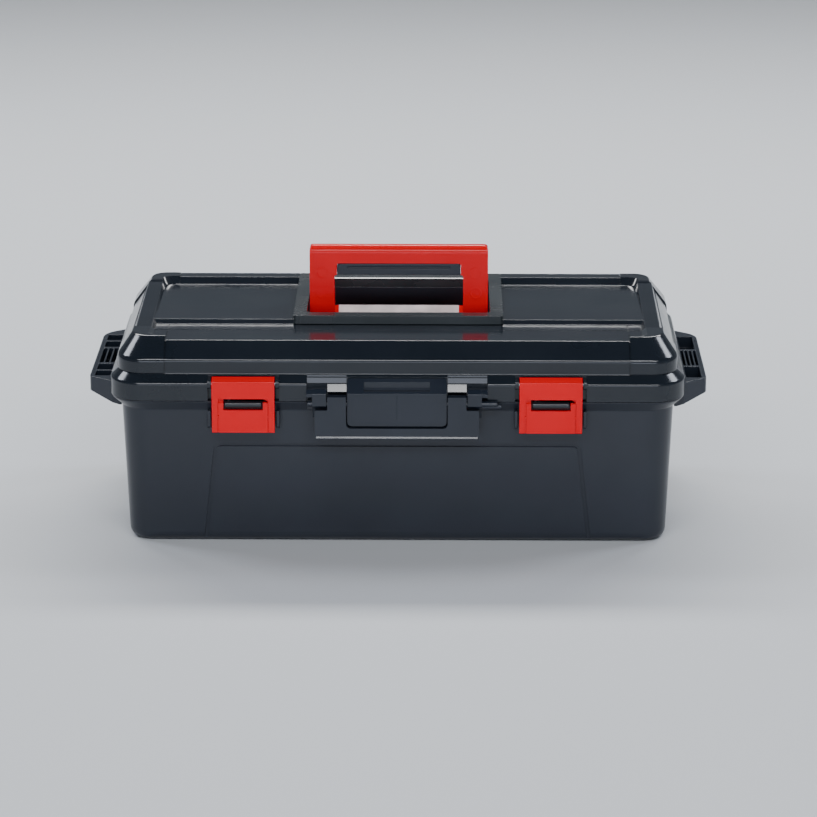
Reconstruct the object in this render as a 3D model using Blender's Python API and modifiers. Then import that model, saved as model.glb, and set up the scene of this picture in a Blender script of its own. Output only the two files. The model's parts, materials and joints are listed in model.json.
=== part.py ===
"""Plastic toolbox with a lift-out tray.

A deep open body, a hinged lid with a folding top handle in a well, two
over-centre latches on the lid, a swinging carry handle on the front, a moulded
lug at each end and a tray that hangs on the body's inner lip.

Frame: +X to the right, +Y to the back, +Z up. The origin is the middle of the
flat base. All sizes are metres.
"""
import math

import bmesh
import bpy
from mathutils import Matrix

# ---------------------------------------------------------------- dimensions
# Fits
GAP = 0.0003                 # between faces that touch on the real object
RUNNING_GAP = 0.0003         # radial, a bore over its pin
WALL = 0.003                 # body and lid wall
EMBED = 0.001                # how far a joined piece reaches into its neighbour

# Overall plan and heights
FLANGE_WIDTH = 0.484         # lid flange, the widest part of the casing
FLANGE_DEPTH = 0.242
BODY_HEIGHT = 0.127          # base to the parting plane
FLANGE_HEIGHT = 0.015        # upright band of the lid flange
LEDGE_RISE = 0.007           # sloped ledge between the flange and the band
BAND_HEIGHT = 0.0115         # upright band of the lid
CHAMFER_RISE = 0.0135        # from the band to the front strip
PANEL_STEP = 0.003           # rear panel above the front strip
RAIL_RISE = 0.008            # side rails and rear rim above the front strip

# Insets from the flange's faces, and plan corner radii
RIM_OVERHANG_X = 0.0095
RIM_OVERHANG_Y = 0.006
RIM_HEIGHT = 0.009
WALL_DRAFT_X = 0.0047
WALL_DRAFT_Y = 0.004
BAND_INSET = 0.0075
TOP_INSET_X = 0.0174         # side of the front strip
TOP_INSET_Y = 0.022
FLANGE_RADIUS = 0.030
TOP_RADIUS = 0.020
BASE_ROUND = 0.008           # base edge round
CORNER_STEPS = 5

# Body lip and rim
LIP_RISE = 0.006
LIP_THICKNESS = 0.0025
LIP_CLEARANCE = 0.001
NECK_DROP = 0.012            # lip's inner face reaches this far below the rim
NECK_TAPER = 0.007

# Front panel groove
PANEL_TOP_HALF = 0.154
PANEL_BASE_HALF = 0.1642
PANEL_TOP_Z = 0.0885
PANEL_CORNER = 0.005
GROOVE_WIDTH = 0.0025
GROOVE_DEPTH = 0.0012
PANEL_FOOT = 0.020           # groove outline's foot below the base

# Lid top
STEP_FROM_FRONT = 0.0713     # flange face to the mid step
RAIL_WIDTH = 0.0095
RAIL_OUTER_INSET = 0.023     # flange side to the rail's outer top edge
REAR_RIM_TOP_WIDTH = 0.014
REAR_RIM_SLOPE = 0.006
REAR_RIM_INSET = 0.029       # flange rear face to the rim's rear top edge
RAIL_FOOT_INSET = 0.0005     # rail and rim feet inside the strip's edge
CORNER_SEAM_X = 0.047        # flange side to a corner cap's seam
CORNER_SEAM_Y = 0.054
CAP_THICKNESS = 0.0012
CAP_FRONT_RISE = 0.0027      # front caps above the front strip

# Handle frame and well
FRAME_HALF = 0.0893
FRAME_BORDER = 0.0113
WELL_DEPTH = 0.024
WELL_FRONT_BORDER = 0.0113
WELL_REAR_BORDER = 0.0194
WELL_WALL = 0.0025

# Top handle
HANDLE_CLEARANCE = 0.0013    # handle side to the well side
HANDLE_FOLD_GAP = 0.0086     # folded handle to the well's rear wall
HANDLE_LEG = 0.0213
HANDLE_THICKNESS = 0.015
HANDLE_PIVOT_DROP = 0.014    # pivot below the rail tops
HANDLE_Y = 0.0
HANDLE_BAR = 0.0152          # top bar height
HANDLE_ROUND = 0.004
GRIP_HEIGHT = 0.0102
GRIP_END = 0.0024            # opening side to the grip's end
CROSSBAR_HEIGHT = 0.0085
CROSSBAR_DROP = 0.0020       # crossbar top below the rail tops
LABEL_THICKNESS = 0.0015
LABEL_MARGIN = 0.0036
HANDLE_PIN_RADIUS = 0.003
HANDLE_PIN_INSIDE = 0.003    # pin end inside the handle leg
HANDLE_LEG_ROUND = 0.98      # shares of the half thickness
HANDLE_BAR_ROUND = 0.9
HANDLE_NOTCH_ROUND = 0.002
GRIP_PROUD = 0.0004
GRIP_PLAY = 0.0002
GRIP_EDGE = 0.002
LABEL_EDGE = 0.0005          # crossbar edge to the label edge

# Latches
LATCH_X = 0.1284
LATCH_WIDTH = 0.0525
LATCH_PROUD = 0.006          # latch front face before the flange face
LATCH_THICKNESS = 0.0055
LATCH_BELOW_SEAM = 0.0258
LATCH_PIVOT_RISE = 0.0155    # pivot above the parting plane
LATCH_PIN_RADIUS = 0.0014
LATCH_EAR = 0.003
LATCH_EAR_HALF = 0.004
LATCH_EAR_ROUND = 0.003
LATCH_SIDE_GAP = 0.0005
POCKET_BACK = 0.0065         # latch pocket depth behind the flange face
LATCH_HEAD_SHOULDER = 0.0030  # side outline of the latch head, from its pivot
LATCH_HEAD_RISE = 0.0058
LATCH_HEAD_CREST = 0.0020
LATCH_HEAD_BACK = 0.0050
LATCH_HEAD_FOOT = 0.0070
LATCH_HEAD_ROUND = 0.0012
LATCH_FOOT_ROUND = 0.0015
WINDOW_WIDTH = 0.033
WINDOW_HEIGHT = 0.010
WINDOW_TOP_RISE = 0.0037     # window top above the parting plane
CATCH_RADIUS = 0.0028
CATCH_LENGTH = 0.031
CATCH_DROP = 0.0015          # bar centre below the parting plane
CATCH_PROUD = 0.0008         # bar before the latch face
CATCH_LEG_RADIUS = 0.00224
GUARD_RIB = 0.003
GUARD_HEIGHT = 0.015
GUARD_GAP = 0.001            # latch side to the rib
GUARD_PROUD = 0.001          # rib before the flange face

# Front handle, its ears, boss and rod
RECESS_HALF = 0.0755         # flange cut-out at the front
RECESS_BACK = 0.0055         # cut-out depth behind the flange face
CARRY_HALF = 0.0687
CARRY_THICKNESS = 0.008
CARRY_PROUD = 0.010          # handle front face before the flange face
CARRY_AXIS_PROUD = 0.0035
CARRY_AXIS_DROP = 0.0008
CARRY_HUB = 0.0065
CARRY_BOTTOM_DROP = 0.030    # handle bottom below the parting plane
CARRY_BAR = 0.0095
CARRY_LEG_GAP = 0.0008
CARRY_EAR_PLAY = 0.0012      # handle shoulder below its ear
CARRY_EAR_CLEAR = 0.0015     # handle's sweep clear of its ear
CARRY_FOOT_ROUND = 0.002
CARRY_ARM_ROUND = 0.0015
CARRY_NECK_ROUND = 0.001
EAR_INNER = 0.0588
EAR_OUTER = 0.0708
EAR_PROUD = 0.007
EAR_RISE = 0.0176
EAR_DROP = 0.0036
EAR_UNDERCUT = 0.0015        # ear's slanted underside behind the handle
BOSS_HALF = 0.0416
BOSS_PROUD = 0.0065
BOSS_DROP = 0.0195
BOSS_SHOULDER = 0.010        # boss front face above the parting plane
BOSS_RISE = 0.0212
BOSS_CORNER = 0.004
BOSS_LAND = 0.002            # flat top behind the boss slope
BOSS_SLOT_HALF = 0.0275
BOSS_SLOT_DEPTH = 0.002
ROD_RADIUS = 0.00235
ROD_LEFT = 0.075
ROD_RIGHT = 0.084

# End lugs
LUG_REACH = 0.0201           # outer edge beyond the flange side
LUG_ROOT_HALF = 0.082
LUG_EDGE_HALF = 0.067
LUG_TOP_RISE = 0.006         # top above the parting plane
LUG_EDGE_HEIGHT = 0.0115
LUG_ROOT_HEIGHT = 0.021
LUG_WALL = 0.003
LUG_RIB = 0.0035
LUG_CELL_DEPTH = 0.009
LUG_CELL_ROWS = 5
LUG_CORNER = 0.006

# Rear hinges
HINGE_X = 0.14
HINGE_BEHIND = 0.0055        # axis behind the flange's rear face
KNUCKLE_RADIUS = 0.0045
KNUCKLE_BODY_WIDTH = 0.020
KNUCKLE_LID_WIDTH = 0.012
KNUCKLE_SIDE_GAP = 0.0005
KNUCKLE_WEB = 0.97           # share of the knuckle radius where its web starts
HINGE_PIN_END = 0.001        # pin beyond the outer knuckles
HINGE_PIN_RADIUS = 0.002

# Tray
TRAY_CLEARANCE = 0.0015
TRAY_DEPTH = 0.050
TRAY_DRAFT = 0.004
TRAY_WALL = 0.002
TRAY_RIM = 0.0022
TRAY_RIM_MARGIN = 0.0006
TRAY_RADIUS = 0.018
DIVIDER_DROP = 0.006
DIVIDER_X = 0.10
DIVIDER_THICKNESS = 0.002
TRAY_GRIP_HALF = 0.045
TRAY_GRIP_WIDTH = 0.012
TRAY_GRIP_HEIGHT = 0.026
TRAY_GRIP_BAR = 0.008
TRAY_GRIP_ROUND = 0.004
TRAY_GRIP_HOLE_ROUND = 0.003

# ------------------------------------------------------------- derived sizes
HALF_W = FLANGE_WIDTH / 2
HALF_D = FLANGE_DEPTH / 2
SEAM_Z = BODY_HEIGHT
FLANGE_TOP_Z = SEAM_Z + FLANGE_HEIGHT
BAND_LOW_Z = FLANGE_TOP_Z + LEDGE_RISE
BAND_TOP_Z = BAND_LOW_Z + BAND_HEIGHT
STRIP_Z = BAND_TOP_Z + CHAMFER_RISE
PANEL_Z = STRIP_Z + PANEL_STEP
RAIL_Z = STRIP_Z + RAIL_RISE
WALL_TOP_Z = SEAM_Z - RIM_HEIGHT
BODY_TOP_Z = SEAM_Z - GAP
LIP_TOP_Z = SEAM_Z + LIP_RISE

WALL_HALF_W = HALF_W - RIM_OVERHANG_X
WALL_HALF_D = HALF_D - RIM_OVERHANG_Y
BASE_HALF_W = WALL_HALF_W - WALL_DRAFT_X
BASE_HALF_D = WALL_HALF_D - WALL_DRAFT_Y
BAND_HALF_W = HALF_W - BAND_INSET
BAND_HALF_D = HALF_D - BAND_INSET
TOP_HALF_W = HALF_W - TOP_INSET_X
TOP_HALF_D = HALF_D - TOP_INSET_Y
HOLLOW_HALF_W = BAND_HALF_W - WALL
HOLLOW_HALF_D = BAND_HALF_D - WALL
LIP_HALF_W = HOLLOW_HALF_W - LIP_CLEARANCE
LIP_HALF_D = HOLLOW_HALF_D - LIP_CLEARANCE
NECK_HALF_W = LIP_HALF_W - LIP_THICKNESS
NECK_HALF_D = LIP_HALF_D - LIP_THICKNESS

BAND_RADIUS = FLANGE_RADIUS - BAND_INSET
WALL_RADIUS = FLANGE_RADIUS - RIM_OVERHANG_Y
BASE_RADIUS = WALL_RADIUS - WALL_DRAFT_Y

STEP_Y = -HALF_D + STEP_FROM_FRONT
RAIL_OUTER_X = HALF_W - RAIL_OUTER_INSET
RAIL_INNER_X = RAIL_OUTER_X - RAIL_WIDTH
REAR_RIM_BACK_Y = HALF_D - REAR_RIM_INSET
REAR_RIM_FRONT_Y = REAR_RIM_BACK_Y - REAR_RIM_TOP_WIDTH
SEAM_X = HALF_W - CORNER_SEAM_X
SEAM_Y = HALF_D - CORNER_SEAM_Y

WELL_HALF = FRAME_HALF - FRAME_BORDER
WELL_FRONT_Y = STEP_Y + WELL_FRONT_BORDER
WELL_REAR_Y = REAR_RIM_BACK_Y - WELL_REAR_BORDER
WELL_FLOOR_Z = RAIL_Z - WELL_DEPTH

HANDLE_HALF = WELL_HALF - HANDLE_CLEARANCE
HANDLE_PIVOT_Z = RAIL_Z - HANDLE_PIVOT_DROP
HANDLE_TOP_Z = HANDLE_PIVOT_Z + WELL_REAR_Y - HANDLE_Y - HANDLE_FOLD_GAP
OPENING_HALF = HANDLE_HALF - HANDLE_LEG
BAR_LOW_Z = HANDLE_TOP_Z - HANDLE_BAR
GRIP_LOW_Z = BAR_LOW_Z - GRIP_HEIGHT
CROSSBAR_TOP_Z = RAIL_Z - CROSSBAR_DROP

LATCH_FRONT_Y = -HALF_D - LATCH_PROUD
LATCH_BACK_Y = LATCH_FRONT_Y + LATCH_THICKNESS
LATCH_PIVOT_Y = LATCH_BACK_Y
LATCH_PIVOT_Z = SEAM_Z + LATCH_PIVOT_RISE
POCKET_Y = -HALF_D + POCKET_BACK
POCKET_HALF = LATCH_WIDTH / 2 + LATCH_SIDE_GAP + LATCH_EAR
CATCH_Y = LATCH_FRONT_Y + CATCH_RADIUS - CATCH_PROUD
CATCH_Z = SEAM_Z - CATCH_DROP

RECESS_Y = -HALF_D + RECESS_BACK
CARRY_AXIS_Y = -HALF_D - CARRY_AXIS_PROUD
CARRY_AXIS_Z = SEAM_Z - CARRY_AXIS_DROP
CARRY_FRONT_Y = -HALF_D - CARRY_PROUD
CARRY_BACK_Y = CARRY_FRONT_Y + CARRY_THICKNESS

LUG_EDGE_X = HALF_W + LUG_REACH
LUG_TOP_Z = SEAM_Z + LUG_TOP_RISE

HINGE_Y = HALF_D + HINGE_BEHIND
HINGE_Z = SEAM_Z

TRAY_HALF_W = NECK_HALF_W - TRAY_CLEARANCE
TRAY_HALF_D = NECK_HALF_D - TRAY_CLEARANCE
TRAY_RIM_LOW_Z = LIP_TOP_Z + GAP
TRAY_TOP_Z = TRAY_RIM_LOW_Z + TRAY_RIM
TRAY_BASE_Z = TRAY_TOP_Z - TRAY_DEPTH

# ------------------------------------------------------------ scene and looks


def start_scene():
    """Empty the scene and make the collections for parts and cutters."""
    for item in list(bpy.data.objects):
        bpy.data.objects.remove(item, do_unlink=True)
    made = []
    for name in ("toolbox_with_tray", "cutters"):
        group = bpy.data.collections.new(name)
        bpy.context.scene.collection.children.link(group)
        made.append(group)
    return made


def plastic(name, colour, roughness, metallic=0.0):
    """A Principled material with a plain colour."""
    material = bpy.data.materials.new(name)
    material.use_nodes = True
    shader = material.node_tree.nodes["Principled BSDF"]
    shader.inputs["Base Color"].default_value = (*colour, 1.0)
    shader.inputs["Roughness"].default_value = roughness
    shader.inputs["Metallic"].default_value = metallic
    return material


PARTS, CUTTERS = start_scene()
BLACK = plastic("black_plastic", (0.022, 0.026, 0.034), 0.32)
GLOSS_BLACK = plastic("gloss_black_plastic", (0.018, 0.022, 0.028), 0.15)
FRAME_BLACK = plastic("grained_black_plastic", (0.035, 0.040, 0.046), 0.5)
RED = plastic("red_plastic", (0.75, 0.015, 0.02), 0.3)
PALE = plastic("pale_label", (0.80, 0.76, 0.74), 0.45)
STEEL = plastic("pin_steel", (0.55, 0.56, 0.58), 0.3, 1.0)
TRAY_GREY = plastic("tray_plastic", (0.05, 0.055, 0.06), 0.45)

# ------------------------------------------------------------ modelling tools


def as_part(item, name, material):
    """Name an object, give it its material and file it with the parts."""
    item.name = name
    item.data.name = name
    item.data.materials.clear()
    item.data.materials.append(material)
    for group in list(item.users_collection):
        group.objects.unlink(item)
    PARTS.objects.link(item)
    return item


def as_cutter(item):
    """File an object with the cutters, drawn as wire and left out of renders."""
    for group in list(item.users_collection):
        group.objects.unlink(item)
    CUTTERS.objects.link(item)
    item.hide_render = True
    item.display_type = "WIRE"
    return item


def boolean(target, tool, operation):
    """Add an exact Boolean modifier to target with the object tool."""
    as_cutter(tool)
    step = target.modifiers.new(operation.lower(), "BOOLEAN")
    step.operation = operation
    step.solver = "EXACT"
    step.object = tool


def cut(target, *tools):
    for tool in tools:
        boolean(target, tool, "DIFFERENCE")


def join(target, *tools):
    for tool in tools:
        boolean(target, tool, "UNION")


def bevel(item, width, segments=2, angle=40):
    """Round the edges of an object that are sharper than angle."""
    step = item.modifiers.new("rounded_edges", "BEVEL")
    step.width = width
    step.segments = segments
    step.limit_method = "ANGLE"
    step.angle_limit = math.radians(angle)
    return item


def box(low, high):
    """A box between two corners, from the cube primitive."""
    bpy.ops.mesh.primitive_cube_add(size=1)
    item = bpy.context.active_object
    size = [b - a for a, b in zip(low, high)]
    middle = [(a + b) / 2 for a, b in zip(low, high)]
    item.data.transform(Matrix.Translation(middle) @ Matrix.Diagonal((*size, 1)))
    return item


def cylinder(centre, axis, radius, length, sides=24):
    """A cylinder about the X, Y or Z axis through centre."""
    bpy.ops.mesh.primitive_cylinder_add(radius=radius, depth=length, vertices=sides)
    item = bpy.context.active_object
    turn = {
        "X": Matrix.Rotation(math.radians(90), 4, "Y"),
        "Y": Matrix.Rotation(math.radians(90), 4, "X"),
        "Z": Matrix.Identity(4),
    }[axis]
    item.data.transform(Matrix.Translation(centre) @ turn)
    return item


def rounded_outline(corners, steps=4):
    """Round each (a, b, radius) corner of an outline with an arc."""
    points = []
    count = len(corners)
    for i, (a, b, radius) in enumerate(corners):
        if radius == 0:
            points.append((a, b))
            continue
        before = corners[i - 1]
        after = corners[(i + 1) % count]
        first = math.atan2(before[1] - b, before[0] - a)
        second = math.atan2(after[1] - b, after[0] - a)
        half = (second - first) / 2
        half = math.atan2(math.sin(half), math.cos(half))
        if abs(half) > math.pi / 2:
            half -= math.copysign(math.pi, half)
        reach = radius / abs(math.sin(half))
        centre_a = a + reach * math.cos(first + half)
        centre_b = b + reach * math.sin(first + half)
        start = first - math.copysign(math.pi / 2, half)
        sweep = 2 * half - math.copysign(math.pi, half)
        for k in range(steps + 1):
            angle = start + sweep * k / steps
            points.append((
                centre_a + radius * math.cos(angle),
                centre_b + radius * math.sin(angle),
            ))
    return points


def extrusion(outlines, plane, low, high):
    """A prism of one or more closed outlines.

    plane XZ runs from Y low to high, YZ from X low to high, XY from Z low to
    high. A second outline inside the first is a hole.
    """
    curve = bpy.data.curves.new("outline", "CURVE")
    curve.dimensions = "2D"
    curve.fill_mode = "BOTH"
    curve.extrude = (high - low) / 2
    for outline in outlines:
        spline = curve.splines.new("POLY")
        spline.points.add(len(outline) - 1)
        spline.use_cyclic_u = True
        for point, (a, b) in zip(spline.points, outline):
            point.co = (a, b, 0, 1)
    guide = bpy.data.objects.new("outline", curve)
    CUTTERS.objects.link(guide)
    graph = bpy.context.evaluated_depsgraph_get()
    mesh = bpy.data.meshes.new_from_object(guide.evaluated_get(graph))
    bpy.data.objects.remove(guide, do_unlink=True)
    work = bmesh.new()
    work.from_mesh(mesh)
    bmesh.ops.remove_doubles(work, verts=work.verts, dist=0.00001)
    bmesh.ops.recalc_face_normals(work, faces=work.faces)
    work.to_mesh(mesh)
    work.free()
    middle = (low + high) / 2
    turn = {
        "XY": Matrix.Identity(4),
        "XZ": Matrix(((1, 0, 0, 0), (0, 0, 1, 0), (0, 1, 0, 0), (0, 0, 0, 1))),
        "YZ": Matrix(((0, 0, 1, 0), (1, 0, 0, 0), (0, 1, 0, 0), (0, 0, 0, 1))),
    }[plane]
    mesh.transform(turn @ Matrix.Translation((0, 0, middle)))
    if plane == "XZ":
        mesh.flip_normals()
    item = bpy.data.objects.new("prism", mesh)
    CUTTERS.objects.link(item)
    return item


def ring_loft(rings):
    """A closed loft through rounded rectangles.

    Each ring is (z, half width, half depth, corner radius); the rings have
    unlike sections, so the faces between them are made here.
    """
    work = bmesh.new()
    loops = []
    for z, half_w, half_d, radius in rings:
        corners = [
            (half_w, -half_d, radius),
            (half_w, half_d, radius),
            (-half_w, half_d, radius),
            (-half_w, -half_d, radius),
        ]
        outline = rounded_outline(corners, CORNER_STEPS)
        loops.append([work.verts.new((x, y, z)) for x, y in outline])
    count = len(loops[0])
    for lower, upper in zip(loops, loops[1:]):
        for i in range(count):
            j = (i + 1) % count
            work.faces.new((lower[i], lower[j], upper[j], upper[i]))
    work.faces.new(reversed(loops[0]))
    work.faces.new(loops[-1])
    bmesh.ops.recalc_face_normals(work, faces=work.faces)
    mesh = bpy.data.meshes.new("loft")
    work.to_mesh(mesh)
    work.free()
    item = bpy.data.objects.new("loft", mesh)
    CUTTERS.objects.link(item)
    return item


def hang_on_axis(items, name, centre):
    """Parent a moving body's pieces to an empty on its joint axis."""
    pivot = bpy.data.objects.new(name, None)
    pivot.location = centre
    PARTS.objects.link(pivot)
    for item in items:
        item.parent = pivot
        item.matrix_parent_inverse = Matrix.Translation(centre).inverted()


# ----------------------------------------------------------------------- body


def body_outside():
    """Drafted tub with a rounded base edge and an overhanging rim."""
    rings = []
    for k in range(4):
        angle = math.radians(30 * k)
        inset = BASE_ROUND * (1 - math.sin(angle))
        rings.append((
            BASE_ROUND * (1 - math.cos(angle)),
            BASE_HALF_W - inset,
            BASE_HALF_D - inset,
            BASE_RADIUS - inset,
        ))
    rings.append((WALL_TOP_Z, WALL_HALF_W, WALL_HALF_D, WALL_RADIUS))
    rings.append((BODY_TOP_Z, HALF_W, HALF_D, FLANGE_RADIUS))
    return ring_loft(rings)


def body_cavity():
    """Inside of the tub, necked in under the lip that carries the tray."""
    neck_z = SEAM_Z - NECK_DROP
    lower_z = neck_z - NECK_TAPER
    share = lower_z / WALL_TOP_Z
    wide_w = BASE_HALF_W + WALL_DRAFT_X * share - WALL
    wide_d = BASE_HALF_D + WALL_DRAFT_Y * share - WALL
    neck_radius = BAND_RADIUS - WALL - LIP_CLEARANCE - LIP_THICKNESS
    return ring_loft([
        (WALL, BASE_HALF_W - WALL, BASE_HALF_D - WALL, BASE_RADIUS - WALL),
        (lower_z, wide_w, wide_d, WALL_RADIUS - WALL),
        (neck_z, NECK_HALF_W, NECK_HALF_D, neck_radius),
        (LIP_TOP_Z + WALL, NECK_HALF_W, NECK_HALF_D, neck_radius),
    ])


def body_lip():
    radius = BAND_RADIUS - WALL - LIP_CLEARANCE
    return ring_loft([
        (WALL_TOP_Z, LIP_HALF_W, LIP_HALF_D, radius),
        (LIP_TOP_Z, LIP_HALF_W, LIP_HALF_D, radius),
    ])


def panel_groove():
    """Shallow groove that outlines the raised trapezoid on the front wall."""
    flare = (PANEL_BASE_HALF - PANEL_TOP_HALF) / PANEL_TOP_Z
    loops = []
    for inset, foot in ((0.0, -PANEL_FOOT), (GROOVE_WIDTH, -PANEL_FOOT / 2)):
        top = PANEL_TOP_Z - inset
        top_half = PANEL_TOP_HALF - inset
        foot_half = top_half + flare * (top - foot)
        radius = PANEL_CORNER - inset / 2
        loops.append(rounded_outline([
            (-foot_half, foot, 0),
            (foot_half, foot, 0),
            (top_half, top, radius),
            (-top_half, top, radius),
        ]))
    tool = extrusion(loops, "XZ", -2 * WALL, GROOVE_DEPTH)
    tilt = math.atan2(WALL_DRAFT_Y, WALL_TOP_Z)
    place = Matrix.Translation((0, -BASE_HALF_D, 0))
    tool.data.transform(place @ Matrix.Rotation(tilt, 4, "X"))
    return tool


def end_lug(side):
    """Moulded end lug: a plan outline crossed with its sloped section."""
    root_x = WALL_HALF_W + WALL / 2
    plan = rounded_outline([
        (root_x, -LUG_ROOT_HALF, 0),
        (HALF_W, -LUG_ROOT_HALF, 0),
        (LUG_EDGE_X, -LUG_EDGE_HALF, LUG_CORNER),
        (LUG_EDGE_X, LUG_EDGE_HALF, LUG_CORNER),
        (HALF_W, LUG_ROOT_HALF, 0),
        (root_x, LUG_ROOT_HALF, 0),
    ], 3)
    section = [
        (root_x, LUG_TOP_Z - LUG_ROOT_HEIGHT),
        (WALL_HALF_W + WALL, LUG_TOP_Z - LUG_ROOT_HEIGHT),
        (LUG_EDGE_X + WALL, LUG_TOP_Z - LUG_EDGE_HEIGHT),
        (LUG_EDGE_X + WALL, LUG_TOP_Z),
        (HALF_W + 2 * GAP, LUG_TOP_Z),
        (HALF_W + 2 * GAP, BODY_TOP_Z - GAP),
        (root_x, BODY_TOP_Z - GAP),
    ]
    plan = [(side * x, y) for x, y in plan]
    section = [(side * x, z) for x, z in section]
    lug = extrusion([plan], "XY", LUG_TOP_Z - LUG_ROOT_HEIGHT - WALL, LUG_TOP_Z + WALL)
    boolean(lug, extrusion([section], "XZ", -LUG_ROOT_HALF - WALL, LUG_ROOT_HALF + WALL),
            "INTERSECT")
    cell_x = sorted((side * (HALF_W + 2 * GAP + LUG_WALL), side * (LUG_EDGE_X - LUG_WALL)))
    run = 2 * (LUG_EDGE_HALF - LUG_WALL)
    pitch = (run + LUG_RIB) / LUG_CELL_ROWS
    for row in range(LUG_CELL_ROWS):
        low_y = -run / 2 + row * pitch
        cell = box(
            (cell_x[0], low_y, LUG_TOP_Z - LUG_CELL_DEPTH),
            (cell_x[1], low_y + pitch - LUG_RIB, LUG_TOP_Z + WALL),
        )
        cut(lug, cell)
    return lug


def carry_boss():
    """Block between the carry handle's legs, with a sloped, slotted top."""
    front = -HALF_D - BOSS_PROUD
    top = SEAM_Z + BOSS_RISE
    outline = [
        (front, SEAM_Z - BOSS_DROP),
        (front, SEAM_Z + BOSS_SHOULDER),
        (RECESS_Y - 3 * GAP - BOSS_LAND, top),
        (RECESS_Y - 3 * GAP, top),
        (RECESS_Y - 3 * GAP, BODY_TOP_Z - 3 * GAP),
        (RECESS_Y + WALL / 2, BODY_TOP_Z - 3 * GAP),
        (RECESS_Y + WALL / 2, SEAM_Z - BOSS_DROP),
    ]
    boss = extrusion([outline], "YZ", -BOSS_HALF - WALL, BOSS_HALF + WALL)
    face = rounded_outline([
        (-BOSS_HALF, SEAM_Z - BOSS_DROP, BOSS_CORNER),
        (BOSS_HALF, SEAM_Z - BOSS_DROP, BOSS_CORNER),
        (BOSS_HALF, top + WALL, 0),
        (-BOSS_HALF, top + WALL, 0),
    ], 3)
    boolean(boss, extrusion([face], "XZ", front - WALL, RECESS_Y + WALL), "INTERSECT")
    rise = BOSS_RISE - BOSS_SHOULDER
    run = BOSS_PROUD + RECESS_BACK - 3 * GAP - BOSS_LAND
    slope = math.atan2(rise, run)
    middle_y = front + run / 2
    middle_z = SEAM_Z + BOSS_SHOULDER + rise / 2
    half = math.hypot(rise, run) * 0.3
    slot = box((-BOSS_SLOT_HALF, -half, -BOSS_SLOT_DEPTH), (BOSS_SLOT_HALF, half, WALL))
    slot.data.transform(
        Matrix.Translation((0, middle_y, middle_z)) @ Matrix.Rotation(slope, 4, "X"))
    cut(boss, slot)
    return boss


def carry_ear(side):
    """Ear on the body that holds the carry handle's rod."""
    front = -HALF_D - EAR_PROUD
    back = RECESS_Y - 2 * GAP
    low = SEAM_Z - EAR_DROP
    outline = [
        (front, low),
        (front, SEAM_Z + EAR_RISE),
        (back, SEAM_Z + EAR_RISE),
        (back, BODY_TOP_Z - 2 * GAP),
        (RECESS_Y + WALL / 2, BODY_TOP_Z - 2 * GAP),
        (RECESS_Y + WALL / 2, WALL_TOP_Z - RIM_OVERHANG_Y),
        (RECESS_Y - WALL / 2, WALL_TOP_Z - RIM_OVERHANG_Y),
        (CARRY_BACK_Y + EAR_UNDERCUT, low),
    ]
    low_x, high_x = sorted((side * EAR_INNER, side * EAR_OUTER))
    return extrusion([outline], "YZ", low_x, high_x)


def guard_ribs():
    """Ribs on the front wall beside each latch."""
    ribs = []
    for side in (-1, 1):
        for edge in (-1, 1):
            middle = side * LATCH_X + edge * (LATCH_WIDTH / 2 + GUARD_RIB / 2 + GUARD_GAP)
            ribs.append(box(
                (middle - GUARD_RIB / 2, -HALF_D - GUARD_PROUD, WALL_TOP_Z - GUARD_HEIGHT),
                (middle + GUARD_RIB / 2, -WALL_HALF_D + WALL / 2, WALL_TOP_Z + WALL / 2),
            ))
    return ribs


def body_knuckles():
    """One knuckle and its web for each rear hinge."""
    pieces = []
    half = KNUCKLE_BODY_WIDTH / 2
    for side in (-1, 1):
        middle = side * HINGE_X
        barrel = cylinder((middle, HINGE_Y, HINGE_Z), "X", KNUCKLE_RADIUS, 2 * half)
        web = extrusion([[
            (HINGE_Y, HINGE_Z - KNUCKLE_RADIUS * KNUCKLE_WEB),
            (HINGE_Y, HINGE_Z - EMBED),
            (WALL_HALF_D - WALL / 2, HINGE_Z - EMBED),
            (WALL_HALF_D - WALL / 2, WALL_TOP_Z - HINGE_BEHIND),
        ]], "YZ", middle - half, middle + half)
        pieces += [barrel, web]
    return pieces


def make_body():
    body = as_part(body_outside(), "body_shell", BLACK)
    join(body, body_lip(), end_lug(1), end_lug(-1))
    cut(body, body_cavity(), panel_groove())
    recess = box(
        (-RECESS_HALF, -HALF_D - WALL, WALL_TOP_Z - RIM_HEIGHT),
        (RECESS_HALF, RECESS_Y, SEAM_Z + GAP),
    )
    cut(body, recess)
    join(body, carry_boss(), carry_ear(1), carry_ear(-1), *guard_ribs())
    join(body, *body_knuckles())
    cut(body, cylinder((0, CARRY_AXIS_Y, CARRY_AXIS_Z), "X",
                       ROD_RADIUS + RUNNING_GAP, 2 * (EAR_OUTER + WALL), 16))
    for side in (-1, 1):
        bore = cylinder((side * HINGE_X, HINGE_Y, HINGE_Z), "X",
                        HINGE_PIN_RADIUS + RUNNING_GAP, KNUCKLE_BODY_WIDTH * 2, 16)
        cut(body, bore)
        for end in (-1, 1):
            socket_x = side * LATCH_X + end * (CATCH_LENGTH / 2 - CATCH_RADIUS)
            cut(body, cylinder(
                (socket_x, -HALF_D, CATCH_Z), "Y",
                CATCH_LEG_RADIUS + RUNNING_GAP, 2 * RIM_OVERHANG_Y, 12))
    return body


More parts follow.
